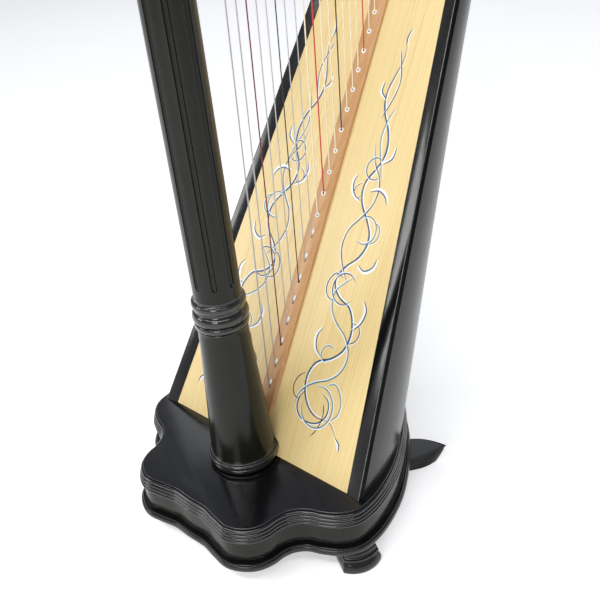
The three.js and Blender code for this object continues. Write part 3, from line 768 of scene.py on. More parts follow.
def foot_rear(sx):
    def outline(c):
        A = resample(catmull(c[:8], closed=False, per=14), 61, closed=False)
        B = resample(catmull(c[7:] + [c[0]], closed=False, per=14), 61, closed=False)
        return np.vstack([A[:-1], B[:-1]])
    P0, P1 = outline(LEAF), outline(LEAF_LOW)
    cen = np.mean(np.array(LEAF), axis=0)
    # (shrink about the middle, share of the lower outline, z): flat top, fine rim, undercut side
    pr = [(0.12, 0, -71.35), (0.060, 0, -71.45), (0.050, 0, -72.0), (0.040, 0, -72.0), (0.030, 0, -71.4), (0.010, 0, -71.4), (0.003, 0, -71.7), (0.0, 0, -72.4), (0.0, 0.01, -73.6),
          (0.006, 0.03, -74.4), (0.016, 0.06, -74.7), (0.016, 0.09, -75.6)]
    pr += [(0.014 * (1 - q), 0.10 + 0.90 * q ** 1.15, -75.6 - 28.6 * q) for q in (0.08, 0.2, 0.35, 0.5, 0.65, 0.8, 0.92, 1.0)] + [(0.01, 1.0, -105.0)]
    rings = []
    for k, w_, z in pr:
        rings.append([((cen[0] + (p[0] - cen[0]) * (1 - k)) * sx, cen[1] + (p[1] - cen[1]) * (1 - k), z) for p in P0 * (1 - w_) + P1 * w_])
    v, f = loft(rings)
    # faces below the top rim take the shaded copy: painted shade on the undercut side
    mi = [0 if min(v[i][2] for i in fc) > -73.0 else 1 for fc in f]
    nm = "left" if sx > 0 else "right"
    return make_soup("foot_rear_%s_moulded" % nm, v, f, mi, ["lac_gloss", "lac_foot"], "black_lacquer", ("foot_rear_" + nm,), smooth=30)


for sx in (1, -1):
    foot_front(sx)
    foot_rear(sx)

# ---------------------------------------------------------------- column
CL, SL = math.cos(LEAN), math.sin(LEAN)


def colf(x, y, z):
    return (x, COL_Y0 + y * CL - z * SL, y * SL + z * CL)


def bead(z0, z1, r0, out, n=14):
    """half-round bead between two heights"""
    return [(r0 + out * math.sin(math.pi * k / n) ** 0.85, z0 + (z1 - z0) * (1 - math.cos(math.pi * k / n)) / 2) for k in range(n + 1)]


FL_Z0, FL_Z1 = 294.0, 1284.0
prof = [(0, 3.2), (46.0, 3.2), (48.7, 3.3), (49.4, 3.8), (49.5, 5.0), (49.5, 7.8), (49.2, 8.7), (48.4, 9.3), (47.9, 9.8)]
prof += bead(10.0, 18.2, 47.3, 3.9, 18)
prof += [(46.7, 18.6), (46.3, 19.4), (46.0, 21.0)]
prof += [(r, z) for r, z in [(45.8, 24), (45.1, 34), (43.8, 54), (42.4, 74), (41.0, 94), (39.7, 114), (38.4, 134), (37.1, 154), (35.9, 174), (34.9, 192), (34.1, 206), (33.8, 216), (33.7, 222), (33.8, 227.2)]]
prof += [(34.1, 228.3), (34.9, 228.6)] + bead(229.0, 230.8, 34.6, 0.7, 6) + [(34.2, 231.2)] + bead(231.4, 240.4, 33.7, 2.9, 16) + [(33.4, 240.8), (33.0, 241.4)]
prof += [(33.3, 241.9)] + [(33.6 + 4.2 * math.sin(u), 246.4 - 4.4 * math.cos(u)) for u in np.linspace(0.12, math.pi / 2, 12)]
prof += [(37.8 - 4.6 * (1 - math.cos(u)), 246.4 + 9.0 * math.sin(u)) for u in np.linspace(0.1, math.pi / 2 - 0.1, 12)] + [(33.0, 256.2), (32.6, 257.2), (32.6, 260.0)]
prof += bead(260.4, 272.0, 32.6, 3.6, 18) + [(32.1, 272.4), (31.7, 273.0), (31.4, 274.6)]
zs = [280, 286, 290] + [FL_Z0 - 1.5] + [FL_Z0 + k for k in (0, 0.4, 0.9, 1.6, 2.4, 3.3, 4.5, 6, 9, 14)] + list(np.linspace(330, 1250, 24)) + [1264, FL_Z1 - 9, FL_Z1 - 6, FL_Z1 - 4.5, FL_Z1 - 3.3, FL_Z1 - 2.4, FL_Z1 - 1.6, FL_Z1 - 0.9, FL_Z1 - 0.4, FL_Z1, FL_Z1 + 1.5]
prof += [(31.3 - (z - 280) * 0.00175, z) for z in zs]
prof += [(29.5, 1290), (29.6, 1294)] + bead(1295, 1306, 29.8, 3.4, 12) + [(29.6, 1307), (29.4, 1312), (29.8, 1320), (31.2, 1335), (33.6, 1350), (37.2, 1362), (38.0, 1365.5), (0, 1365.6)]

FLW = 3.6  # half width of a flute


def fluted(r, z, a, z0=FL_Z0, z1=FL_Z1, deep=3.3, n=8, hw=FLW):
    if z < z0 or z > z1:
        return r
    step = 2 * math.pi / n
    d = (a + math.pi / 2 + step / 2) % step - step / 2
    xx = abs(d) * r
    end = min(z - z0, z1 - z)
    w_ = hw if end > hw else math.sqrt(max(0.0, hw * hw - (hw - end) ** 2))
    if xx >= w_ or w_ <= 0:
        return r
    k = math.sqrt(max(0.0, 1 - (xx / w_) ** 2))
    return r - deep * (w_ / hw) * (0.25 + 0.75 * k) if k > 0.02 else r


# angular samples are denser round each flute
angs = []
for k in range(8):
    c0 = -math.pi / 2 + k * math.pi / 4
    hw = FLW / 31.0
    for u in (-1.04, -0.995, -0.93, -0.8, -0.6, -0.35, 0, 0.35, 0.6, 0.8, 0.93, 0.995, 1.04):
        angs.append(c0 + hw * u)
    for u in (0.2, 0.4, 0.6, 0.8):
        angs.append(c0 + hw * 1.04 + (math.pi / 4 - 2.08 * hw) * u)
angs = sorted(angs)


def lathe_a(profile, angs, frame_fn, rfn):
    seg = len(angs)
    v, f, rows = [], [], []
    for (r, z) in profile:
        if r <= 1e-6:
            rows.append([len(v)])
            v.append(frame_fn(0, 0, z))
        else:
            row = []
            for a in angs:
                rr = rfn(r, z, a)
                row.append(len(v))
                v.append(frame_fn(rr * math.cos(a), rr * math.sin(a), z))
            rows.append(row)
    for j in range(len(rows) - 1):
        a, b = rows[j], rows[j + 1]
        for k in range(seg):
            k2 = (k + 1) % seg
            if len(a) == 1:
                f.append((a[0], b[k2], b[k]))
            elif len(b) == 1:
                f.append((a[k], a[k2], b[0]))
            else:
                f.append((a[k], a[k2], b[k2], b[k]))
    return v, f


v, f = lathe_a(prof, angs, colf, fluted)
make("column_turned", v, f, "lac_col", ("column",), smooth=30)

# capital: fluted drum between beads, domed top
cp = [(0, 1366.0), (41, 1366.0), (42, 1366.6)] + bead(1367, 1380, 42.5, 4.6, 14) + [(42.6, 1380.8), (42.0, 1382.2), (42.2, 1385)]
cp += [(43.4 + (z - 1390) * 0.036, z) for z in [1390, 1396, 1399, 1400, 1400.6, 1401.4, 1402.4, 1404, 1407, 1420, 1450, 1480, 1500, 1505, 1508, 1509.6, 1510.6, 1511.4, 1512, 1513, 1516]]
cp += [(47.5, 1519)] + bead(1520, 1527, 47.4, 2.2, 10) + [(47.8, 1528)] + bead(1528.6, 1546, 47.8, 4.6, 16) + [(47.4, 1547), (46.6, 1549)]
cp += [(46.2 * math.cos(a) ** 0.9, 1550 + 61.5 * math.sin(a) ** 1.15) for a in np.linspace(0.02, math.pi / 2 - 0.03, 26)] + [(0, 1611.6)]


def fl_cap(r, z, a):
    return fluted(r, z, a, 1400.0, 1512.0, 2.2, 16, 3.6)


angs2 = []
for k in range(16):
    c0 = -math.pi / 2 + k * math.pi / 8
    hw = 3.6 / 45.5
    for u in (-1.06, -0.99, -0.9, -0.7, -0.4, 0, 0.4, 0.7, 0.9, 0.99, 1.06):
        angs2.append(c0 + hw * u)
    angs2.append(c0 + math.pi / 16)
v, f = lathe_a(cp, sorted(angs2), colf, fl_cap)
make("column_capital_turned", v, f, "lac", ("column_capital",), smooth=30)

# ---------------------------------------------------------------- neck
ks = [1, 3, 5, 7, 9, 11, 13, 15, 17, 19, 21, 23, 25, 28, 31, 34, 37, 40]
lower = [(STR[k - 1]["y"], STR[k - 1]["zf"] - 17) for k in ks]
upper = []
for k in ks:
    a, b, s = STR[max(0, k - 2)], STR[min(39, k)], STR[k - 1]
    dy, dz = b["y"] - a["y"], b["zp"] - a["zp"]
    l = math.hypot(dy, dz)
    off = 74 - 0.35 * k
    upper.append((s["y"] - off * dz / l, s["zp"] + off * dy / l))
seg_low = [(-62, lower[0][1] - 3.6), (-30, lower[0][1] - 3), (12, lower[0][1] - 1)] + lower + [(606, lower[-1][1] + 5)]
seg_end = [(608.5, 1061), (613.5, 1066.0)]
seg_top = [(690, 1066.0), (700, 1084), (697, 1108), (682, 1130), (658, 1146), (630, 1153)] + upper[::-1] + [(-40, upper[0][1] - 24), (-62, upper[0][1] - 36)]
P1 = catmull(seg_low, closed=False, per=8)
P3 = catmull(seg_top, closed=False, per=8)
NK = np.vstack([P1, np.array(seg_end), P3])
# drop points that are nearly the same
keep = [0]
for i in range(1, len(NK)):
    if np.linalg.norm(NK[i] - NK[keep[-1]]) > 1.2:
        keep.append(i)
NK = NK[keep]
NN = normals2(NK)
if ((NK - NK.mean(0)) * NN).sum() < 0:
    NN = -NN
X0, X1, RB = -48.0, -10.0, 4.5
rings = []
for k in range(9):
    a = math.pi / 2 * k / 8
    rings.append([(X0 + RB - RB * math.cos(a) , p[0] - n[0] * (RB - RB * math.sin(a)), p[1] - n[1] * (RB - RB * math.sin(a))) for p, n in zip(NK, NN)])
for k in range(9):
    a = math.pi / 2 * (1 - k / 8)
    rings.append([(X1 - RB + RB * math.cos(a), p[0] - n[0] * (RB - RB * math.sin(a)), p[1] - n[1] * (RB - RB * math.sin(a))) for p, n in zip(NK, NN)])
v, f = loft(rings)
make("neck_shaped", v, f, "lac", ("neck",), smooth=32)

# ---------------------------------------------------------------- soundbox
def shell_surface(inset, nT, nPhi):
    g = []
    for i in range(nPhi + 1):
        ph = math.pi * i / nPhi
        tb = 0.0
        for _ in range(30):
            n = -5.35 - (depth(tb) - inset) * math.sin(ph)
            tb = -n * math.tan(ALPHA) + 0.4 / CA
        col = []
        for j in range(nT + 1):
            t = tb + (BOARD_T1 - tb) * j / nT
            a, b = out_w(t) - inset, depth(t) - inset
            col.append(bp(a * math.cos(ph), t, -5.35 - b * math.sin(ph)))
        g.append(col)
    return g


nT, nPhi = 60, 72
so, si = shell_surface(0.0, nT, nPhi), shell_surface(7.0, nT, nPhi)
rings = []
for j in range(nT + 1):
    rings.append([so[i][j] for i in range(nPhi + 1)] + [si[i][j] for i in range(nPhi, -1, -1)])
v, f = loft(rings)
shell = make("soundbox_shell_bent", v, f, ["lac", "ply"], ("soundbox_shell",), smooth=40)
HOLES = [(330, 34, 62), (500, 31, 58), (665, 28, 54), (820, 25, 48), (965, 21, 42)]
cutv, cutf = [], []
for t, hx, ht in HOLES:
    n0 = -5.0 - depth(t) - 30
    r0 = [bp(hx * math.cos(2 * math.pi * k / 64), t + ht * math.sin(2 * math.pi * k / 64), n0) for k in range(64)]
    r1 = [bp(hx * math.cos(2 * math.pi * k / 64), t + ht * math.sin(2 * math.pi * k / 64), n0 + 60) for k in range(64)]
    a, b = loft([r0, r1])
    o = len(cutv)
    cutv += a
    cutf += [tuple(o + q for q in ff) for ff in b]
cme = bpy.data.meshes.new("cutter")
cme.from_pydata([W(p) for p in cutv], [], cutf)
bmx = bmesh.new()
bmx.from_mesh(cme)
bmesh.ops.recalc_face_normals(bmx, faces=bmx.faces)
bmx.to_mesh(cme)
bmx.free()
cob = bpy.data.objects.new("cutter", cme)
bpy.context.scene.collection.objects.link(cob)
mod = shell.modifiers.new("holes", "BOOLEAN")
mod.operation = "DIFFERENCE"
mod.solver = "EXACT"
mod.object = cob
bpy.context.view_layer.update()
dg = bpy.context.evaluated_depsgraph_get()
ev = bpy.data.meshes.new_from_object(shell.evaluated_get(dg))
shell.modifiers.clear()
shell.data = ev
bpy.data.objects.remove(cob)
# the inside is bare wood: faces whose centre is off the outer skin
inner = []
for p in ev.polygons:
    c = p.center
    x, y, z = c.x * 1000, c.y * 1000 - OFF_Y, c.z * 1000 - OFF_Z
    t = y * SA + z * CA
    n = -y * CA + z * SA
    a, b = max(out_w(t), 1), max(depth(t), 1)
    rr = math.hypot(x / a, (n + 5.35) / b)
    inner.append(1 if rr < 1 - 4.5 / b and z > 0.5 and t < BOARD_T1 - 0.5 and n < -6 and rr < 0.985 else 0)
ev.polygons.foreach_set("material_index", inner)
ev.shade_smooth()
ev.set_sharp_from_angle(angle=math.radians(35))
bev = shell.modifiers.new("arris", "BEVEL")
bev.width = 0.0008
bev.segments = 2
bev.limit_method = "ANGLE"
bev.angle_limit = math.radians(50)

# rims of the sound holes
rim = Soup()
for t, hx, ht in HOLES:
    ring_pts = []
    for k in range(96):
        a = 2 * math.pi * k / 96
        x = (hx + 1.2) * math.cos(a)
        tt = t + (ht + 1.2) * math.sin(a)
        b, aa = depth(tt), out_w(tt)
        n = -5.35 - b * math.sqrt(max(0, 1 - (x / aa) ** 2)) - 0.3
        ring_pts.append(Vector(bp(x, tt, n)))
    rr = []
    for k in range(96):
        p, q = ring_pts[k - 1], ring_pts[(k + 1) % 96]
        T = (q - p).normalized()
        nout = Vector((0, CA, -SA))
        nout = (nout - T * nout.dot(T)).normalized()
        B = T.cross(nout)
        rr.append([tuple(ring_pts[k] + nout * (1.3 * math.sin(b)) + B * (2.4 * math.cos(b))) for b in np.linspace(0, 2 * math.pi, 13)[:-1]])
    a, b = loft(rr, cap=False, closed_path=True)
    rim.add(a, b)
rim.make("sound_hole_rims", ["lac"], slot="black_lacquer")

# border strips: flat face, rounded outer arris, small step down to the board
for sx, nm in ((1, "left"), (-1, "right")):
    rings = []
    for j in range(41):
        def q(x, n, j=j):
            tb = -n * math.tan(ALPHA) + 0.4 / CA
            t = tb + (BOARD_T1 - tb) * j / 40
            return t
        sec = []
        t_ = q(0, 0)
        a_, b_ = half_w(t_) + 0.25, out_w(t_)
        pts = [(a_, -5.0), (a_, 0.45), (a_ + 0.12, 0.72), (a_ + 0.5, 0.85)]
        pts += [(b_ - 2.6, 2.95), (b_ - 2.0, 2.95), (b_ - 1.6, 2.6)]
        pts += [(b_ - 1.5, 1.6), (b_ - 1.2, -0.8), (b_ - 0.8, -2.6), (b_, -4.4), (b_ - 0.5, -5.0)]
        for x, n in pts:
            sec.append(bp(sx * x, q(x, n), n))
        rings.append(sec)
    v, f = loft(rings)
    v = [tuple(q_) for q_ in v]
    nsec = len(rings[0])
    # outer side faces take the shaded copy (painted shade); the flat top takes the dark bluish upward-face copy
    mi = [1 if all((i % nsec) >= 6 for i in fc) and len(fc) <= 4 else 0 for fc in f]
    make_soup("edge_strip_%s_shaped" % nm, v, f, mi, ["lac_top", "lac_foot"], "black_lacquer", ("edge_strip_" + nm,), smooth=22)
    # a pale thin tube along the outer arris of the strip: a painted highlight line
    P_ = []
    for j in range(41):
        t = 0.6 + (BOARD_T1 - 1.2) * j / 40
        P_.append(bp(sx * (out_w(t) - 1.95), t - 1.4, 2.70))
    v, f = tube(P_, 0.62, 8)
    make("edge_arris_%s" % nm, v, f, "lac_edge", (), smooth=60)

# string rib
T0, T1 = 42.0, STRING_T[39] + 24


def rib_x(x, t):
    return x * (1 - 0.12 * (t - T0) / (T1 - T0))


rings = []
for j in range(61):
    t = T0 + (T1 - T0) * j / 60
    sec = [(-14.6, 0.35), (-14.6, 2.6), (-14.35, 3.0), (-12.2, 4.85), (-11.7, 5.0), (-1.4, 5.0), (1.4, 5.0), (11.7, 5.0), (12.2, 4.85), (14.35, 3.0), (14.6, 2.6), (14.6, 0.35)]
    rings.append([bp(rib_x(x, t), t, n) for x, n in sec])
v, f = loft(rings)
rib = make("string_rib_shaped", v, f, "rib", ("string_rib",), smooth=25)

# eyelets on the rib, dark discs of painted shade for the holes, and pale domed ovals
eye = Soup()
for s in STR:
    t = s["t"]

    def bf(x, y, z, t=t):
        return bp(x, t + y, RIB_H + z)
    if s["i"] >= 9:
        ro = 3.75 if s["i"] < 22 else (3.3 if s["i"] < 30 else 2.8)
        ri = max(s["r"] + 0.55, 1.30)
        pr = [(ri, -1.5), (ri, 0.35), (ri + 0.22, 0.85), (ri + 0.7, 1.15), (ro - 1.0, 1.25), (ro - 0.35, 0.95), (ro - 0.05, 0.5), (ro, 0.0), (ro, -0.3), (ri, -1.5)]
        seg = 32
        vv, ff = [], []
        for r, z in pr[:-1]:
            for k in range(seg):
                a = 2 * math.pi * k / seg
                vv.append(bf(r * math.cos(a), r * math.sin(a), z))
        m_ = len(pr) - 1
        for j in range(m_):
            jn = (j + 1) % m_
            for k in range(seg):
                ff.append((j * seg + k, j * seg + (k + 1) % seg, jn * seg + (k + 1) % seg, jn * seg + k))
        eye.add(vv, ff, 0)
        # a dark disc filling the eyelet's bore: painted shade in the hole
        a, b = lathe([(0, 0.3), (ri + 0.05, 0.3), (ri + 0.05, 0.72), (0, 0.76)], 20, bf)
        eye.add(a, b, 1)
    else:
        # a dark disc in place of the drilled hole: painted shade
        a, b = lathe([(0, -0.5), (1.75, -0.5), (1.75, 0.06), (1.3, 0.12), (0, 0.1)], 24, bf)
        eye.add(a, b, 1)
        # a pale domed oval up the slope from it
        vv, ff = [], []
        rows = [(1.0, -0.4), (1.0, 0.12), (0.93, 0.32), (0.75, 0.52), (0.45, 0.66), (0.0, 0.7)]
        seg = 28
        idx = []
        for k_, z in rows:
            if k_ == 0:
                idx.append([len(vv)])
                vv.append(bp(0.4, t + 7.6, RIB_H + z))
            else:
                row = []
                for q in range(seg):
                    a = 2 * math.pi * q / seg
                    row.append(len(vv))
                    vv.append(bp(0.4 + 2.1 * k_ * math.cos(a), t + 7.6 + 4.3 * k_ * math.sin(a), RIB_H + z))
                idx.append(row)
        for a, b in zip(idx[:-1], idx[1:]):
            for q in range(seg):
                if len(b) == 1:
                    ff.append((a[q], a[(q + 1) % seg], b[0]))
                else:
                    ff.append((a[q], a[(q + 1) % seg], b[(q + 1) % seg], b[q]))
        ff.append(tuple(idx[0][::-1]))
        eye.add(vv, ff, 0)
eye.make("string_eyelets", ["ivory", "hole"], slot="string_nylon", smooth=40)

# ---------------------------------------------------------------- strings
def tuning(s):
    k = STR.index(s)
    a, b = STR[max(0, k - 1)], STR[min(39, k + 1)]
    dy, dz = b["y"] - a["y"], b["zp"] - a["zp"]
    l = math.hypot(dy, dz)
    st = 0 if s["i"] % 2 else 1
    up = 27 + 13 * st
    return (s["y"] + 4.0 - 9.0 * dz / l * (0.6 + 0.4 * st), s["zp"] + up + 5.0 * dy / l)


groups = {"bass_wire_strings": Soup(), "gut_strings": Soup(), "nylon_strings": Soup()}
PINR = 1.7
for s in STR:
    i, r = s["i"], s["r"]
    note = (i - 1) % 7
    g = "bass_wire_strings" if i <= 8 else ("gut_strings" if i <= 28 else "nylon_strings")
    mi = 1 if note == 2 else (2 if note == 5 else 0)
    ty, tz = tuning(s)
    cy = s["y"] + r + PINR  # bridge pin centre
    pts = [(0, s["y"], s["z0"] - 1.0)]
    nseg = max(3, int(s["len"] / 90))
    for k in range(1, nseg + 1):
        pts.append((0, s["y"], s["z0"] + (s["zp"] - s["z0"]) * k / nseg))
    # round the pin, then on to the tuning pin
    R = PINR + r
    TPR = 3.0
    tang = math.atan2(tz - s["zp"], (ty - TPR - r) - cy)
    aim = math.pi / 2 - tang
    aim = max(0.03, min(1.2, aim))
    for k in range(1, 5):
        a = math.pi - aim * k / 4
        pts.append((0, cy + R * math.cos(a), s["zp"] + R * math.sin(a)))
    # straight run to the windings
    pts.append((0.3, ty - TPR - r + 0.4, tz - 1.0))
    # windings
    nw = 3.2 if i > 3 else 2.6
    steps = int(nw * 12)
    for k in range(steps + 1):
        a = math.pi - 2 * math.pi * nw * k / steps
        pts.append((0.6 - (2.15 * r + 0.1) * nw * k / steps, ty + (TPR + r) * math.cos(a), tz + (TPR + r) * math.sin(a)))
    a, b = tube(pts, r, 8)
    groups[g].add(a, b, mi)
groups["bass_wire_strings"].make("strings_bass_wire", ["wire", "wire_c", "wire_f"], slot="string_wire", replaces=("bass_wire_strings",), smooth=60)
groups["gut_strings"].make("strings_gut", ["gut", "gut_c", "gut_f"], slot="string_gut", replaces=("gut_strings",), smooth=60)
groups["nylon_strings"].make("strings_nylon", ["nylon", "gut_c", "gut_f"], slot="string_nylon", replaces=("nylon_strings",), smooth=60)

# pins
pins, tp = Soup(), Soup()
for s in STR:
    cy, z = s["y"] + s["r"] + PINR, s["zp"]

    def xf(a, b, c, cy=cy, z=z):
        return (c, cy + a, z + b)
    pr = [(0, -14.0), (PINR + 0.5, -14.0), (PINR + 0.5, -9.6), (PINR + 0.3, -9.2), (PINR, -8.6), (PINR, -s["r"] - 0.5), (PINR - 0.25, -s["r"] * 0.5), (PINR - 0.3, 0), (PINR - 0.25, s["r"] * 0.5), (PINR, s["r"] + 0.5), (PINR + 0.35, s["r"] + 0.8), (PINR + 0.35, 2.6), (PINR, 3.1), (0.6, 3.5), (0, 3.55)]
    a, b = lathe(pr, 20, xf)
    pins.add(a, b, 0)
    ty, tz = tuning(s)

    def xt(a, b, c, ty=ty, tz=tz):
        return (c, ty + a, tz + b)
    pr = [(0, -50.0), (3.25, -50.0), (3.2, -9.0), (3.0, -6.0), (2.95, 3.0), (2.8, 5.2), (2.2, 5.9), (0, 6.1)]
    a, b = lathe(pr, 20, xt)
    tp.add(a, b, 0)
    # square end on the player's right, where the key goes
    sq = []
    for xx, w_ in ((-47.0, 2.5), (-50.0, 2.45), (-60.0, 2.1), (-60.8, 1.7)):
        c_ = w_ * 0.78
        sq.append([(xx, ty + w_, tz - c_), (xx, ty + w_, tz + c_), (xx, ty + c_, tz + w_), (xx, ty - c_, tz + w_), (xx, ty - w_, tz + c_), (xx, ty - w_, tz - c_), (xx, ty - c_, tz - w_), (xx, ty + c_, tz - w_)])
    a, b = loft(sq)
    tp.add(a, b, 0)
    # washers
    for xx in (-10.0, -48.0):
        sgn = 1 if xx > -20 else -1
        def xw(a, b, c, ty=ty, tz=tz):
            return (c, ty + a, tz + b)
        a, b = lathe([(3.3, xx), (5.0, xx), (5.0, xx + sgn * 0.5), (4.7, xx + sgn * 0.8), (3.3, xx + sgn * 0.8), (3.3, xx)], 24, xw)
        tp.add(a, b, 0)
pins.make("bridge_pins", ["brass"], slot="lever_brass", smooth=35)
tp.make("tuning_pins", ["steel"], slot="string_wire", smooth=35)

# lever brackets: plate with two screws, and the fret post
br = Soup()
for s in STR:
    sp = s["s"]
    rh = min(3.0, 0.17 * sp)
    py, pz = s["y"] + sp / 2, s["zf"]
    hw = min(3.6, 0.27 * sp)
    L0 = min(13.0, 0.9 * sp)
    # plate outline: slot shape from above the hub to below it
    ring = []
    up_, dn_ = rh + 3.2, L0
    for k in range(17):
        a = math.pi * k / 16
        ring.append((hw * math.cos(a), up_ + hw * 0.9 * math.sin(a)))
    for k in range(17):
        a = math.pi + math.pi * k / 16
        ring.append((hw * math.cos(a), -dn_ + hw * 0.9 * math.sin(a)))
    rings = []
    for xx, k_ in ((-10.0, 1.0), (-8.9, 1.0), (-8.55, 0.9)):
        rings.append([(xx, py + y_ * k_, pz + z_ * (k_ if k_ == 1.0 else 0.97)) for y_, z_ in ring])
    a, b = loft(rings)
    br.add(a, b, 0)
    # screws
    for zz in (up_ + 0.2, -dn_ - 0.2):
        def xs(a, b, c, zz=zz):
            return (c, py + a, pz + zz + b)
        a, b = lathe([(0, -9.2), (1.7, -9.2), (1.75, -8.2), (1.4, -7.7), (0.8, -7.45), (0, -7.4)], 16, xs)
        br.add(a, b, 1)
        # a dark bar across the screw head for its slot: painted shade
        rings = [[(xx, py - 1.35, pz + zz - 0.22), (xx, py + 1.35, pz + zz - 0.22), (xx, py + 1.35, pz + zz + 0.22), (xx, py - 1.35, pz + zz + 0.22)] for xx in (-8.0, -7.36)]
        a, b = loft(rings)
        br.add(a, b, 2)
    # fret post on the other side of the string
    fy = s["y"] - s["r"] - 1.55

    def xfret(a, b, c, fy=fy):
        return (c, fy + a, pz + b)
    a, b = lathe([(0, -10.0), (2.2, -10.0), (2.2, -9.3), (1.15, -8.9), (1.1, -2.0), (1.1, 1.6), (0.8, 2.1), (0, 2.2)], 16, xfret)
    br.add(a, b, 0)
br.make("lever_brackets", ["brass", "steel", "hole"], slot="lever_brass", smooth=35)

# ---------------------------------------------------------------- carried-over CAD nodes: materials and softened edges
def dress(node, mat, width=0.0, seg=2, ang=30):
    o = NODES[node]
    o.data.materials.clear()
    o.data.materials.append(MAT[mat])
    if width:
        b = o.modifiers.new("arris", "BEVEL")
        b.width = width
        b.segments = seg
        b.limit_method = "ANGLE"
        b.angle_limit = math.radians(ang)
    return o


dress("soundboard", "spruce")
dress("inner_rib", "liner", 0.0012)
dress("shoulder_block", "lac", 0.002, 3)
for n in NODES:
    if n.startswith("lever_"):
        dress(n, "brass", 0.00035, 2, 35)

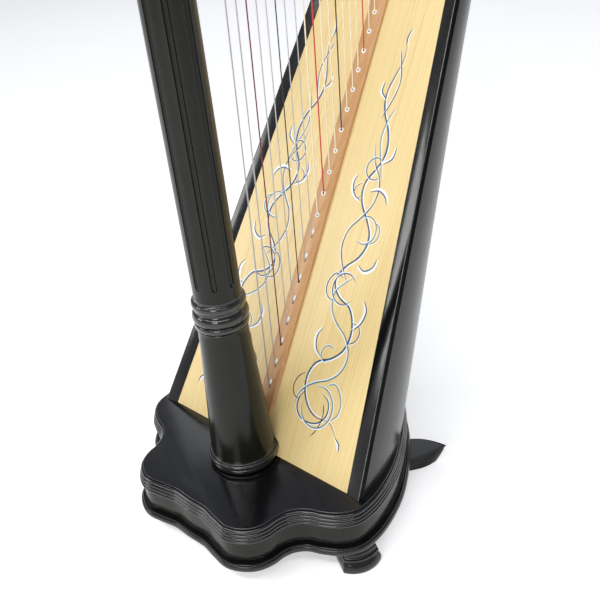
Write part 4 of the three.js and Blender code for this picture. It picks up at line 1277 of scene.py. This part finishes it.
# ---------------------------------------------------------------- painted scroll decoration on the board
def decal(sx):
    lines = Soup()
    lvl = [0.0]

    def ribbon(pts, w0, w1, mi, lift=0.06, taper=True, per=14, wmid=None):
        P = catmull([list(p) for p in pts], closed=False, per=per)
        N = normals2(P, closed=False)
        m = len(P)
        lvl[0] += 0.0006
        h = lift + lvl[0]
        top, bot = [], []
        for k in range(m):
            u = k / (m - 1)
            w_ = w0 + (w1 - w0) * u
            if wmid is not None:
                w_ = w0 * (1 - u) + w1 * u + wmid * math.sin(math.pi * u)
            if taper:
                w_ *= min(1.0, 0.12 + 6 * u, 0.12 + 6 * (1 - u))
            a, b = P[k] + N[k] * w_ / 2, P[k] - N[k] * w_ / 2
            top.append(a)
            bot.append(b)
        ring = []
        for a, b in zip(top, bot):
            ring.append([bp(sx * a[0], a[1], 0.01), bp(sx * a[0], a[1], h), bp(sx * b[0], b[1], h), bp(sx * b[0], b[1], 0.01)])
        v_, f_ = loft(ring)
        lines.add(v_, f_, mi)

    def stroke(pts, w_=1.5, body=0, side=1, hl=True):
        """a brush stroke: dark edge, blue body, pale highlight beside it"""
        w_ *= 1.42
        P = [np.array(p, float) for p in pts]
        ribbon(P, w_ * 1.0, w_ * 0.8, body)
        Q = catmull([list(p) for p in P], closed=False, per=4)
        N = normals2(Q, closed=False)
        if hl:
            ribbon([tuple(q + n * side * w_ * 0.85) for q, n in zip(Q, N)][::3] + [tuple(Q[-1])], w_ * 0.75, w_ * 0.5, 3, per=5)
        ribbon([tuple(q - n * side * w_ * 0.42) for q, n in zip(Q, N)][::3], w_ * 0.42, w_ * 0.35, 1, per=5)

    def leaf(pts, w_=3.4, side=1):
        """a leaf: white belly with a dark spine along one edge"""
        w_ *= 1.35
        P = [np.array(p, float) for p in pts]
        Q = catmull([list(p) for p in P], closed=False, per=5)
        N = normals2(Q, closed=False)
        ribbon([tuple(q + n * side * w_ * 0.42) for q, n in zip(Q, N)], 0.35, 0.3, 3, wmid=w_ * 0.85, taper=False, per=3)
        ribbon([tuple(q) for q in P], 0.8, 0.6, 0, wmid=1.3, taper=True)
        ribbon([tuple(q - n * side * 0.5) for q, n in zip(Q, N)], 0.3, 0.3, 1, wmid=0.45, taper=True, per=3)

    # main stem: a slow wave up the board
    stem = [(128, 66), (112, 80), (90, 78), (68, 92), (56, 122), (64, 150), (86, 163), (104, 184), (106, 214), (92, 240), (70, 250), (58, 268),
            (68, 292), (86, 312), (92, 338), (80, 362), (64, 384), (60, 408), (72, 432), (80, 456), (74, 484), (60, 508), (54, 534), (60, 560), (66, 584), (64, 608)]
    stroke(stem, 1.7)
    # counter stem crossing it
    stroke([(47, 84), (52, 104), (70, 122), (92, 134), (108, 152), (112, 176), (98, 200), (78, 214), (64, 232), (62, 254), (76, 272), (92, 286)], 1.3, 2, -1)
    stroke([(76, 272), (62, 292), (52, 316), (56, 344), (72, 366), (84, 390), (82, 418), (66, 442), (58, 470)], 1.2, 0, -1)
    stroke([(84, 420), (74, 448), (66, 470), (68, 498), (76, 520)], 1.1, 2, 1)
    stroke([(56, 500), (66, 528), (70, 552), (62, 580), (56, 596)], 1.0, 0, -1)
    # open rings and tendrils
    stroke([(60, 108), (52, 90), (58, 72), (76, 66), (96, 72), (106, 88), (102, 106), (88, 114)], 1.3, 0, 1)
    stroke([(112, 80), (124, 96), (120, 118), (106, 132), (92, 126)], 1.1, 2, 1)
    stroke([(52, 132), (42, 122), (38, 106), (44, 94), (54, 92)], 0.9, 1, 1, False)
    stroke([(96, 100), (100, 84), (96, 62), (88, 48)], 0.9, 1, 1, False)
    stroke([(86, 163), (74, 156), (68, 168), (76, 180), (90, 178)], 1.0, 2, -1)
    stroke([(104, 190), (118, 200), (118, 218), (104, 222)], 1.0, 0, 1)
    stroke([(66, 240), (50, 246), (46, 264), (56, 280), (72, 276)], 1.1, 0, -1)
    stroke([(92, 330), (104, 338), (104, 356), (92, 362)], 1.0, 2, 1)
    stroke([(62, 392), (50, 386), (46, 400), (56, 410)], 0.9, 0, -1)
    # round loops
    def loop(cx, ct, r, a0, a1, w_, body, side=1):
        stroke([(cx + r * math.cos(math.radians(a)), ct + r * 1.12 * math.sin(math.radians(a))) for a in np.linspace(a0, a1, 9)], w_, body, side)
    loop(86, 92, 27, -170, 120, 1.2, 2)
    loop(76, 262, 20, 40, 330, 1.1, 0)
    loop(82, 348, 17, -120, 140, 1.1, 2, -1)
    loop(70, 432, 14, 60, 330, 1.0, 0)
    # leaves
    leaf([(70, 160), (58, 170), (54, 188), (60, 202)], 3.4, -1)
    leaf([(106, 210), (118, 226), (120, 244), (112, 256)], 3.6, -1)
    leaf([(86, 300), (98, 294), (110, 302), (114, 316)], 3.6, 1)
    leaf([(62, 384), (48, 392), (42, 408), (46, 420)], 3.2, -1)
    leaf([(72, 400), (86, 404), (98, 398), (104, 388)], 3.8, -1)
    leaf([(80, 440), (92, 450), (94, 466)], 3.0, -1)
    leaf([(56, 526), (46, 536), (46, 550)], 2.6, -1)
    leaf([(64, 600), (62, 612), (66, 624)], 2.2, 1)
    leaf([(128, 64), (138, 56), (140, 46)], 2.8, 1)
    nm = "left" if sx > 0 else "right"
    lines.make("painted_scroll_%s" % nm, ["ink_blue", "ink_navy", "ink_sky", "ink_white"], slot="spruce_board", smooth=0)


decal(1)
decal(-1)
